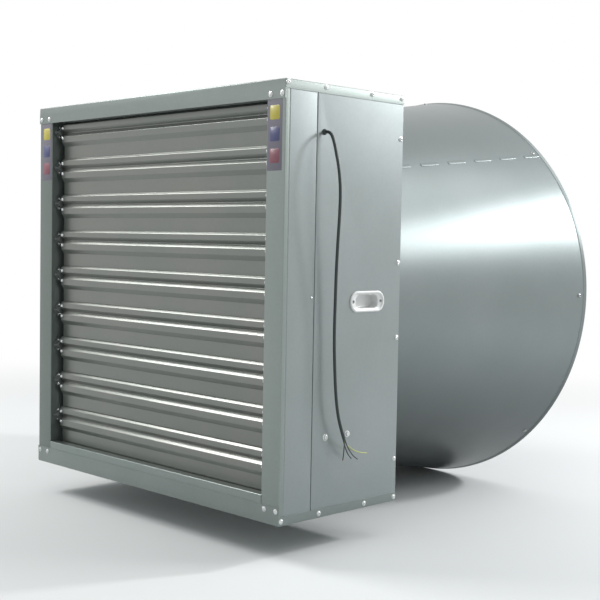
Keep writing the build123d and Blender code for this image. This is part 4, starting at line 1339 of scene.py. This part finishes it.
@dataclass
class Shutter:
    """Nine roll-formed blades with their pivots and cranks, and the bushes that they turn in."""

    scatter: Scatter
    rolling: Rolling
    rib_setback: float = 0.033
    rib_depth: float = 0.012
    lap: float = 0.013
    blade_sheet: float = 0.0015
    half_length: float = 0.585
    bend: float = 0.0035
    skin_shares: tuple[Pair, ...] = (
        (0.67, 0.0), (0.0, 0.053), (0.0, 0.173), (1.0, 0.253), (1.0, 0.267), (0.0, 0.347), (0.0, 0.493),
        (1.0, 0.6), (1.0, 1.0), (1.5, 1.0),
    )
    plate_sheet: float = 0.002
    plate_width: float = 0.028
    plate_height: float = 0.058
    clip: float = 0.004
    edge: float = 0.0006
    pinhole: float = 0.0002
    overlap: float = 0.0005
    pivot_radius: float = 0.005
    pivot_gap: float = 0.004
    pivot_chamfer: Pair = (0.001, 0.001)
    crank_reach: float = 0.050
    crank_angle: float = -42.5
    crank_half: float = 0.007
    crank_proud: float = 0.0002
    pin_radius: float = 0.004
    pin_end: float = 0.594
    pin_chamfer: Pair = (0.0006, 0.0005)
    end_rivet_inset: float = 0.005
    end_rivet_shares: Pair = (0.128, 0.385)
    end_rivet_size: float = 1.8
    bush_rivet_offset: float = 0.0175
    bush_rivet_size: float = 1.2
    bush_half_width: float = 0.023
    bush_half_height: float = 0.029
    bush_sheet: float = 0.003
    bush_skin: tuple[Pair, ...] = ((0.0, 0.0), (0.0, 0.0022), (0.0008, 0.0030))
    boss_radius: float = 0.010
    boss_fillet: Pair = (0.001, 0.0012)
    boss_length: float = 0.013
    nose_radius: float = 0.007
    nose_chamfer: float = 0.0008
    rib_reach: float = 0.020
    rib_half: float = 0.003
    bore: float = 0.0051

    def blade(self, index: int) -> None:
        """Rolls one blade.

        Args:
            index: the louver, counted from the top.
        """
        top = plan.pivot(index)[1] + plan.pivot_drop
        height = plan.pitch + self.lap
        skin = [
            (plan.front + self.rib_setback + depth * self.rib_depth, top - drop * height)
            for depth, drop in self.skin_shares
        ]
        outline = folded(skin[::-1], self.blade_sheet)
        number, run = str(index + 1), (-self.half_length, self.half_length)
        piece = self.rolling.roll("louver_blade_" + number, outline, run, Lay.ALONG_X, zinc_louver, self.bend, 4)
        dress(piece, zinc_louver, "louver_" + number, "louver_" + number)

    def ends(self, index: int) -> None:
        """End plates, stub pivots, and the crank with its pin on the left.

        Args:
            index: the louver, counted from the top.
        """
        number, (y, z) = str(index + 1), plan.pivot(index)
        plate = [(y + a, z + b) for a, b in self.diamond(self.plate_width / 2, self.plate_height / 2)]
        foot, face = self.half_length, self.half_length + self.plate_sheet
        maker = Maker()
        for side in SIDES.values():
            maker.prism_x(plate, side * (foot - self.overlap), side * face)
        angle = radians(self.crank_angle)
        pin = (y + self.crank_reach * cos(angle), z + self.crank_reach * sin(angle))
        maker.prism_x(self.strap((y, z), pin, self.crank_half), -face - self.crank_proud, -foot)
        maker.eased(self.edge)
        stub = self.stub(self.pivot_radius, plan.opening - self.pivot_gap, self.pivot_chamfer)
        for side in SIDES.values():
            maker.lathe(stub, seat((0.0, y, z), (side, 0.0, 0.0)), 20)
        stub = self.stub(self.pin_radius, self.pin_end, self.pin_chamfer)
        maker.lathe(stub, seat((0.0, *pin), (-1.0, 0.0, 0.0)), 18)
        # Painted shade: the ends take the dark copy of the zinc.
        dress(maker.piece("louver_ends_" + number), zinc_bracket, "louver_" + number)
        seats = []
        for side in SIDES.values():
            for share in self.end_rivet_shares:
                drop = z + plan.pivot_drop - share * (plan.pitch + self.lap)
                place = (side * (foot - self.end_rivet_inset), plan.front + self.rib_setback, drop)
                seats.append(on_face(-1, place))
        name, body = "louver_end_rivets_" + number, "louver_" + number
        self.scatter.set(name, Head.RIVET, seats, bright_screw, body=body, size=self.end_rivet_size)

    def stub(self, radius: float, tip: float, chamfer: Pair) -> Flat:
        """Outline of a round stub that stands on a blade's end.

        Args:
            radius: its radius.
            tip: how far from the blade's middle it ends.
            chamfer: what the chamfer takes off its radius and off its length.

        Returns:
            Radius and distance from the blade's middle of each corner.
        """
        return [
            (self.pinhole, self.half_length), (radius, self.half_length), (radius, tip - chamfer[1]),
            (radius - chamfer[0], tip), (self.pinhole, tip),
        ]

    def diamond(self, half_width: float, half_height: float) -> Flat:
        """Diamond about the origin with clipped corners.

        Args:
            half_width: half its width.
            half_height: half its height.

        Returns:
            The outline.
        """
        lean, clip = half_height / half_width, self.clip
        quarter = [(half_width - clip / lean * 0.6, clip * 0.6), (clip * 0.5, half_height - clip * 0.5 * lean)]
        outline = []
        for sign_y, sign_z, order in ((1, 1, 1), (-1, 1, -1), (-1, -1, 1), (1, -1, -1)):
            outline += [(sign_y * py, sign_z * pz) for py, pz in quarter[::order]]
        return outline

    def strap(self, first: Pair, second: Pair, half: float) -> Flat:
        """Round-ended strap between two points.

        Args:
            first: centre of one end.
            second: centre of the other.
            half: half its width.

        Returns:
            The outline.
        """
        way = Vector((second[0] - first[0], second[1] - first[1]))
        turn = way.angle_signed(Vector((1.0, 0.0)), 0.0)
        outline = []
        for centre, begin in ((second, turn - pi / 2), (first, turn + pi / 2)):
            for step in range(9):
                angle = begin + pi * step / 8
                outline.append((centre[0] + half * cos(angle), centre[1] + half * sin(angle)))
        return outline

    def bush(self) -> bpy.types.Object:
        """Template of one moulded bush: diamond flange, tapered boss and the rib across it.

        Returns:
            An object to be removed once it is scattered.
        """
        rows = []
        for inset, lift in self.bush_skin:
            outline = self.diamond(self.bush_half_height - inset, self.bush_half_width - inset)
            rows.append([Vector((a, b, lift)) for a, b in outline])
        maker = Maker().rings(rows)
        foot, nose = self.bush_sheet - self.overlap, self.bush_sheet + self.boss_length
        wing = [
            (-self.rib_reach, foot), (self.rib_reach, foot), (self.nose_radius, nose - self.overlap),
            (-self.nose_radius, nose - self.overlap),
        ]
        maker.prism_x(wing, -self.rib_half, self.rib_half)
        maker.eased(self.edge, 1)
        boss = [
            (self.bore, foot), (self.boss_radius + self.boss_fillet[0], foot),
            (self.boss_radius, foot + self.boss_fillet[1]), (self.nose_radius, nose - self.nose_chamfer),
            (self.nose_radius - self.nose_chamfer, nose), (self.bore, nose),
        ]
        return maker.lathe(boss, Matrix.Identity(4), 24).piece("bush_template")

    def bushes(self) -> None:
        """Moulded bushes on the uprights' inner faces, and two bright rivets in each."""
        seats, rivets = [], []
        for index in range(plan.louvers):
            y, z = plan.pivot(index)
            for side in SIDES.values():
                facing, up = (-side, 0.0, 0.0), (0.0, 0.0, 1.0)
                seats.append(((side * plan.opening, y, z), facing, up))
                for offset in (self.bush_rivet_offset, -self.bush_rivet_offset):
                    rivets.append(((side * (plan.opening - self.bush_sheet), y, z + offset), facing, up))
        self.scatter.set("pivot_bushes", self.bush(), seats, bush_nylon, "louver_bushes")
        self.scatter.set("bush_rivets", Head.RIVET, rivets, bright_screw, size=self.bush_rivet_size)

    def build(self) -> None:
        """Makes the shutter."""
        coat(bright_steel, "link_bar")
        for index in range(plan.louvers):
            self.blade(index)
            self.ends(index)
        self.bushes()


# Discharge cone

@dataclass
class Cone:
    """Two rolled halves with a hemmed rim, tongued seams, screws, and the guard inside."""

    scatter: Scatter
    base_radius: float = 0.646
    rim_radius: float = 0.810
    length: float = 0.995
    steps: int = 144
    wall_shares: Point = (0.25, 0.5, 0.75)
    bead: float = 0.0025
    bead_angles: range = range(165, -55, -22)
    hem: float = 0.003
    hem_width: float = 0.016
    hem_skin: tuple[Pair, ...] = ((0.0022, 0.0014), (0.0016, 0.0002), (0.0, -0.0010))
    foot_skin: tuple[Pair, ...] = ((0.0004, 0.003), (0.0030, 0.0))
    flange: float = 0.028
    seam_angle: float = 43.8
    tongues: int = 7
    tongue_length: float = 0.092
    tongue_first: float = 0.033
    tongue_half: float = 0.008
    tongue_corner: float = 0.0062
    tongue_shift: float = 0.002
    tongue_steps: tuple[Pair, ...] = (
        (0.0, -0.0006), (0.0004, 0.0006), (0.0012, 0.0015), (0.0028, 0.0021), (0.0050, 0.0023),
    )
    screws: int = 8
    screw_setback: float = 0.040
    flange_screws: int = 16
    flange_screw_share: float = 0.62
    flange_screw_size: float = 0.8

    @property
    def rim(self) -> float:
        """Setback of the rim."""
        return plan.back + self.length

    def inner(self, y: float) -> float:
        """Inner radius at a setback."""
        slope = (self.rim_radius - self.hem - plan.sheet - self.base_radius) / self.length
        return self.base_radius + slope * (y - plan.back)

    def wall(self) -> Flat:
        """Closed outline of the wall with its flange and rolled hem.

        Returns:
            Radius and setback of its corners.
        """
        rows = [plan.back + share * self.length for share in self.wall_shares]
        hem, foot, edge = self.rim - self.hem_width, plan.back + plan.sheet, self.base_radius + self.flange
        outline = [(self.inner(y), y) for y in (plan.back, *rows, self.rim - 2 * self.bead)]
        for angle in map(radians, self.bead_angles):
            across, along = self.bead * cos(angle), self.bead * sin(angle)
            outline.append((self.rim_radius - self.bead + across, self.rim - self.bead + along))
        outline += [(self.inner(hem) + plan.sheet + out, hem + along) for out, along in self.hem_skin]
        outline += [(self.inner(y) + plan.sheet, y) for y in reversed(rows)]
        outline += [(self.inner(foot) + plan.sheet + out, foot + along) for out, along in self.foot_skin]
        return outline + [(edge, foot), (edge, plan.back)]

    def shells(self) -> None:
        """Rolls both halves."""
        stand = Matrix.Translation((0.0, 0.0, plan.axis)) @ Matrix.Rotation(-pi / 2, 4, "X")
        for title, begin in (("upper", -self.seam_angle), ("lower", 180.0 - self.seam_angle)):
            half = Maker().lathe(self.wall(), stand, self.steps, radians(begin), -pi)
            dress(half.piece("cone_" + title + "_half", 35.0), zinc_cone, "root", "cone_" + title + "_shell")

    def place(self, angle: float, y: float) -> Seat:
        """Seat on the cone's outer face.

        Args:
            angle: angle above the horizontal on the right, in radians.
            y: the setback.

        Returns:
            Place, facing and lengthwise direction.
        """
        slope = (self.inner(self.rim) - self.base_radius) / self.length
        radius = self.inner(y) + plan.sheet
        out = Vector((cos(angle), 0.0, sin(angle)))
        facing = (out - Vector((0.0, slope, 0.0))).normalized()
        along = (Vector((0.0, 1.0, 0.0)) + out * slope).normalized()
        return (radius * out.x, y, plan.axis + radius * out.z), tuple(facing), tuple(along)

    def tongue(self) -> bpy.types.Object:
        """Template of one pressed tongue, pillowed, with its ends run out.

        Returns:
            An object to be removed once it is scattered.
        """
        rows = []
        for inset, lift in self.tongue_steps:
            half, corner = self.tongue_length / 2 - inset, self.tongue_corner - inset
            outline = rounded(half, self.tongue_half - inset, corner)
            rows.append([Vector((x, y, lift)) for x, y in outline])
        return Maker().rings(rows).piece("tongue_template", 60.0)

    def seams(self) -> None:
        """Tongues along both seams."""
        seats = []
        pitch = self.length / self.tongues
        for turn in (0.0, pi):
            for index in range(self.tongues):
                y = plan.back + index * pitch + self.tongue_first + self.tongue_length / 2
                angle = radians(self.seam_angle) + turn - self.tongue_shift / self.inner(y)
                seats.append(self.place(angle, y))
        self.scatter.set("seam_tongues", self.tongue(), seats, zinc_cone)

    def rim_screws(self) -> None:
        """Screws that hold the guard's clips."""
        y = self.rim - self.screw_setback
        seats = [self.place(index * tau / self.screws, y) for index in range(self.screws)]
        self.scatter.set("rim_screw_heads", Head.DOME_SCREW, seats, grey_screw, "rim_screws", turn=pi)

    def base_screws(self) -> None:
        """Screws that hold the cone's flange to the rear panel."""
        radius = self.base_radius + self.flange * self.flange_screw_share
        seats = []
        for index in range(self.flange_screws):
            angle = (index + 0.5) * tau / self.flange_screws
            place = (radius * cos(angle), plan.back + plan.sheet, plan.axis + radius * sin(angle))
            seats.append(on_face(1, place))
        name, size = "flange_screw_heads", self.flange_screw_size
        self.scatter.set(name, Head.DOME_SCREW, seats, bright_screw, size=size, turn=pi)

    def build(self) -> None:
        """Makes the cone."""
        coat(zinc_wire, "guard_hoop", "outlet_guard", "guard_clips")
        self.shells()
        self.seams()
        self.rim_screws()
        self.base_screws()


# Casing

@dataclass
class Casing:
    """Cabinet panels, their screws, the flush handles and the plain coloured strips."""

    scatter: Scatter
    rolling: Rolling
    lip: float = 0.030
    fold: float = 0.003
    upright_fold: float = 0.020
    joggle_gap: float = 0.0015
    head_setback: float = 0.050
    head_drop: float = 0.006
    head_lip: float = 0.038
    sill_ledge: float = 0.038
    sill_lip: float = 0.010
    lip_shares: tuple[float, ...] = (0.018, 0.319, 0.708, 0.978)
    edge_shares: tuple[float, ...] = (-0.788, -0.184, 0.184, 0.788)
    corner_insets: Pair = (0.015, 0.067)
    screw_inset: float = 0.011
    sill_screw_inset: float = 0.015
    corner_drop: float = 0.045
    rivet_setback: float = 0.129
    rivet_rise: float = 0.018
    cut_reach: float = 0.010
    mouth: Point = (0.0565, 0.0245, 0.020)
    cable_hole: Point = (0.0075, 0.0075, 0.0074)
    handle_setback: float = 0.390
    handle_steps: tuple[tuple[float, ...], ...] = (
        (0.0500, 0.0180, 0.0150, -0.0320), (0.0530, 0.0210, 0.0175, -0.0300),
        (0.0535, 0.0215, 0.0180, -0.0040), (0.0545, 0.0225, 0.0190, -0.0010),
        (0.0570, 0.0235, 0.0200, 0.0004), (0.0715, 0.0245, 0.0235, 0.0006),
        (0.0730, 0.0255, 0.0245, 0.0016), (0.0745, 0.0270, 0.0260, 0.0038),
        (0.0765, 0.0288, 0.0278, 0.0048), (0.0795, 0.0315, 0.0305, 0.0049),
        (0.0818, 0.0338, 0.0325, 0.0038), (0.0830, 0.0350, 0.0335, 0.0018),
        (0.0830, 0.0350, 0.0335, 0.0001), (0.0560, 0.0240, 0.0200, 0.0001),
        (0.0560, 0.0240, 0.0200, -0.0320), (0.0540, 0.0220, 0.0185, -0.0340),
    )
    handle_tray_lift: float = 0.0006
    handle_screw_offset: float = 0.067
    film_thickness: float = 0.0002
    film_skin: tuple[Pair, ...] = ((0.0, 0.0), (0.00022, 0.0), (0.0003, 0.004))
    strip_half_width: float = 0.033
    strip_middle: float = 0.642
    strip_top: float = 1.3185
    strip_height: float = 0.218
    strip_corner: float = 0.003
    block_half: float = 0.022
    block_corner: float = 0.006
    block_heights: Point = (1.279, 1.2125, 1.146)

    def upright_sheets(self) -> None:
        """Rolls the uprights, the shutter's side panels and the main side panels."""
        wall, inner, open_x, fold = plan.wall, plan.wall - plan.sheet, plan.opening, plan.back_fold
        front, seam = plan.front, plan.front + plan.shutter
        near, far = seam - plan.seam / 2, seam + plan.seam / 2
        joggle = front + self.upright_fold + self.joggle_gap
        paths = {
            "upright": [
                (wall, front + self.upright_fold), (wall, front + plan.sheet), (open_x, front + plan.sheet),
                (open_x, near), (open_x + fold, near),
            ],
            "shutter_panel": [
                (wall - fold, near), (wall, near), (wall, joggle + plan.sheet), (inner, joggle),
                (inner, front + 2 * plan.sheet),
            ],
            "side_panel": [(wall, plan.back), (wall, far), (wall - fold, far)],
        }
        run = (plan.sheet, plan.side - plan.sheet)
        for part, path in paths.items():
            for title, side in SIDES.items():
                finish = zinc_side
                if part == "upright":
                    # The left upright takes the darker copy of the zinc, painted shade.
                    finish = zinc_upright if side > 0 else zinc_upright_painted_shade
                outline = [(side * x, y) for x, y in folded(path, plan.sheet)]
                node = title + "_" + part
                piece = self.rolling.roll(node + "_sheet", outline, run, Lay.ALONG_Z, finish, self.fold)
                if part == "side_panel":
                    self.cut_holes(piece, side)
                dress(piece, finish, "root", node)

    def cut_holes(self, piece: bpy.types.Object, side: int) -> None:
        """Cuts the handle's mouth, and the cable's hole on the right.

        Args:
            piece: the side panel.
            side: 1 for the right and -1 for the left.
        """
        reach = (side * (plan.wall - self.cut_reach), side * (plan.wall + self.cut_reach))
        mouth = [(plan.front + self.handle_setback + a, plan.axis + b) for a, b in rounded(*self.mouth)]
        cut(piece, Maker().prism_x(mouth, *reach).piece("mouth_cutter"))
        if side > 0:
            setback, height = plan.cable_exit
            hole = [(setback + a, height + b) for a, b in rounded(*self.cable_hole)]
            cut(piece, Maker().prism_x(hole, *reach).piece("hole_cutter"))
        self.rolling.shade(piece.data)

    def cross_sheets(self) -> None:
        """Rolls the strip over the louvers and the ledge under them."""
        head, top = plan.front + self.head_setback, plan.side - plan.flange - self.head_drop
        sill, ledge = plan.front + plan.sheet, plan.front + plan.sheet + self.sill_ledge
        paths = {
            "shutter_head": [
                (head, top), (head, plan.side - plan.sheet), (head + self.head_lip, plan.side - plan.sheet),
            ],
            "shutter_sill": [
                (sill, plan.sheet), (sill, plan.sill), (ledge, plan.sill), (ledge, plan.sill - self.sill_lip),
            ],
        }
        run = (-plan.opening, plan.opening)
        # The head strip takes the lighter copy of the zinc, painted light; the sill takes the plain front zinc.
        for (node, path), finish in zip(paths.items(), (zinc_head, zinc_front)):
            outline = folded(path, plan.sheet)
            piece = self.rolling.roll(node + "_sheet", outline, run, Lay.ALONG_X, finish, self.fold)
            dress(piece, finish, "root", node)

    def tray(self, title: str, level: int) -> None:
        """Top or bottom panel: a tray with a flange in front and a lip over each side.

        Args:
            title: top or bottom.
            level: 1 for the top and -1 for the bottom.
        """
        maker = Maker()
        base = plan.side if level > 0 else 0.0
        half, front, back = plan.half, plan.front, plan.back
        spots = [(-half, front, 0.0), (half, front, 0.0), (half, back, 0.0), (-half, back, 0.0)]
        spots += [(x, y, self.lip) for x, y, _ in spots]
        spots += [(-half, front, plan.flange), (half, front, plan.flange)]
        verts = [maker.work.verts.new((x, y, base - level * drop)) for x, y, drop in spots]
        rows = ((0, 1, 2, 3), (0, 4, 8, 9, 5, 1), (1, 5, 6, 2), (0, 3, 7, 4))
        faces = [maker.work.faces.new([verts[spot] for spot in row]) for row in rows]
        if level < 0:
            bmesh.ops.reverse_faces(maker.work, faces=faces)
        folds = [
            maker.work.edges.get((verts[first], verts[second]))
            for first, second in ((0, 1), (1, 2), (0, 3), (1, 5), (0, 4))
        ]
        bmesh.ops.bevel(
            maker.work, geom=folds, offset=self.fold, segments=4, affect="EDGES", profile=0.5, clamp_overlap=True,
        )
        piece = maker.piece(title + "_tray")
        skin = piece.modifiers.new("sheet", "SOLIDIFY")
        skin.thickness, skin.offset, skin.use_even_offset = plan.sheet, -1.0, True
        self.rolling.shade(settled(piece).data, 40.0)
        dress(piece, zinc_front, "root", title + "_panel")

    def screws(self) -> None:
        """Dome screws of the panels, and one small rivet on each side."""
        seats, rivets = [], []
        for side in SIDES.values():
            for share in self.lip_shares:
                for z in (self.sill_screw_inset, plan.side - self.screw_inset):
                    seats.append(on_flank(side, plan.half, plan.front + share * plan.depth, z))
            for share in self.edge_shares:
                y, z = plan.back - self.screw_inset, plan.axis * (1 + share)
                seats.append(on_flank(side, plan.wall, y, z))
            for inset in self.corner_insets:
                for z in (self.corner_drop, plan.side - self.corner_drop):
                    seats.append(on_face(-1, (side * (plan.half - inset), plan.front, z)))
            y, z = plan.front + self.rivet_setback, plan.axis + self.rivet_rise
            rivets.append(on_flank(side, plan.wall, y, z))
        self.scatter.set("casing_screw_heads", Head.DOME_SCREW, seats, bright_screw, "casing_screws", turn=pi)
        self.scatter.set("frame_rivets", Head.RIVET, rivets, bright_screw)

    def handle(self, title: str, side: int) -> None:
        """Moulded cup handle with a rounded rim and a sunken tray.

        Args:
            title: right or left.
            side: 1 for the right and -1 for the left.
        """
        y, z = plan.front + self.handle_setback, plan.axis
        rows = []
        for half_width, half_height, corner, lift in self.handle_steps:
            outline = rounded(half_width, half_height, corner, 10)
            rows.append([Vector((side * (plan.wall + lift), y + a, z + b)) for a, b in outline])
        cup = Maker().rings(rows).piece(title + "_handle_cup", 50.0)
        dress(cup, handle_plastic, "root", title + "_handle")

    def handle_screws(self) -> None:
        """Dark screws sunk in the handles' trays."""
        middle, offset = plan.front + self.handle_setback, self.handle_screw_offset
        seats = [
            on_flank(side, plan.wall + self.handle_tray_lift, y, plan.axis)
            for side in SIDES.values() for y in (middle - offset, middle + offset)
        ]
        self.scatter.set("handle_screw_heads", Head.SUNK_SCREW, seats, dark_screw, turn=pi)

    def film(self, name: str, side: int, height: float, outline: Flat, level: int, finish: Finish) -> None:
        """One flat film on an upright.

        Args:
            name: the piece's name.
            side: 1 for the right and -1 for the left.
            height: height of its middle.
            outline: its outline about its middle.
            level: how many films lie under it.
            finish: its finish.
        """
        placed = [(side * self.strip_middle + x, height + z) for x, z in outline]
        face = plan.front + plan.sheet - self.film_thickness * level
        maker = Maker().plate_y(placed, [(face - proud, inset) for proud, inset in self.film_skin])
        dress(maker.piece(name, 50.0), finish, "root")

    def strips(self) -> None:
        """Plain strip on each upright with three plain blocks of colour."""
        block = rounded(self.block_half, self.block_half, self.block_corner, 5)
        edge = rounded(self.strip_half_width, self.strip_height / 2, self.strip_corner, 3)
        blocks = list(zip(("upper", "middle", "lower"), self.block_heights, (film_yellow, film_blue, film_red)))
        for title, side in SIDES.items():
            self.film("strip_" + title, side, self.strip_top - self.strip_height / 2, edge, 0, film_grey)
            for place, height, finish in blocks:
                self.film("strip_" + place + "_block_" + title, side, height, block, 1, finish)

    def build(self) -> None:
        """Makes the casing."""
        coat(zinc_front, "rear_panel", "throat_ring")
        self.tray("top", 1)
        self.tray("bottom", -1)
        self.upright_sheets()
        self.cross_sheets()
        self.screws()
        for title, side in SIDES.items():
            self.handle(title, side)
        self.handle_screws()
        self.strips()


# Drive

@dataclass
class Drive:
    """Motor, rail, posts, belt, impeller and the opener inside the cabinet."""

    scatter: Scatter
    rail_bolt_height: float = 0.258
    rail_bolt_setbacks: Pair = (0.20235, 0.30505)
    blades: int = 6
    hub_setback: float = 0.486
    blade_rivet_spots: tuple[Pair, ...] = ((0.080, 0.0), (0.118, 0.018), (0.118, -0.018))
    blade_rivet_size: float = 1.4

    def rail_bolts(self) -> None:
        """Flanged bolts that hold the cross rail through the side panels."""
        seats = [
            on_flank(side, plan.wall, plan.front + setback, self.rail_bolt_height)
            for side in SIDES.values() for setback in self.rail_bolt_setbacks
        ]
        self.scatter.set("rail_bolt_heads", Head.FLANGE_BOLT, seats, bright_screw, "rail_bolts", turn=pi / 3)

    def blade_rivets(self) -> None:
        """Rivets that hold the blades' tongues to the hub disc."""
        seats = []
        for index in range(self.blades):
            out = Vector((cos(index * tau / self.blades), 0.0, sin(index * tau / self.blades)))
            side = out.cross(Vector((0.0, 1.0, 0.0)))
            for reach, offset in self.blade_rivet_spots:
                spot = out * reach + side * offset
                place = (spot.x, plan.front + self.hub_setback, plan.axis + spot.z)
                seats.append((place, (0.0, 1.0, 0.0), tuple(out)))
        size = self.blade_rivet_size
        self.scatter.set("blade_rivets", Head.RIVET, seats, bright_screw, body="impeller", size=size)

    def build(self) -> None:
        """Dresses the drive."""
        coat(zinc_section, "motor_rail", "support_posts", "bearing_plate", "slide_rails", "rocker_brackets")
        coat(zinc_section, "weight_carrier")
        coat(bright_steel, "fan_shaft", "motor_shaft", "push_rod", "rocker_shaft", "flyweight_1", "flyweight_2")
        coat(bright_steel, "shaft_bearings")
        coat(cast_iron, "fan_pulley", "motor_pulley", "bearing_housing")
        coat(motor_enamel, "motor_body", "motor_end_shield", "motor_cowl", "motor_feet", "terminal_box")
        coat(belt_rubber, "v_belt")
        coat(blade_steel, "impeller_blades", "impeller_hub")
        self.rail_bolts()
        self.blade_rivets()


def main() -> None:
    """Builds the studio and the fan."""
    logging.basicConfig(level=logging.INFO, format="%(name)s: %(message)s")
    Studio().build()
    SupplyCable().build()
    scatter, rolling = Scatter(HeadShop()), Rolling()
    Casing(scatter, rolling).build()
    Shutter(scatter, rolling).build()
    Cone(scatter).build()
    Drive(scatter).build()


if __name__ == "__main__":
    main()
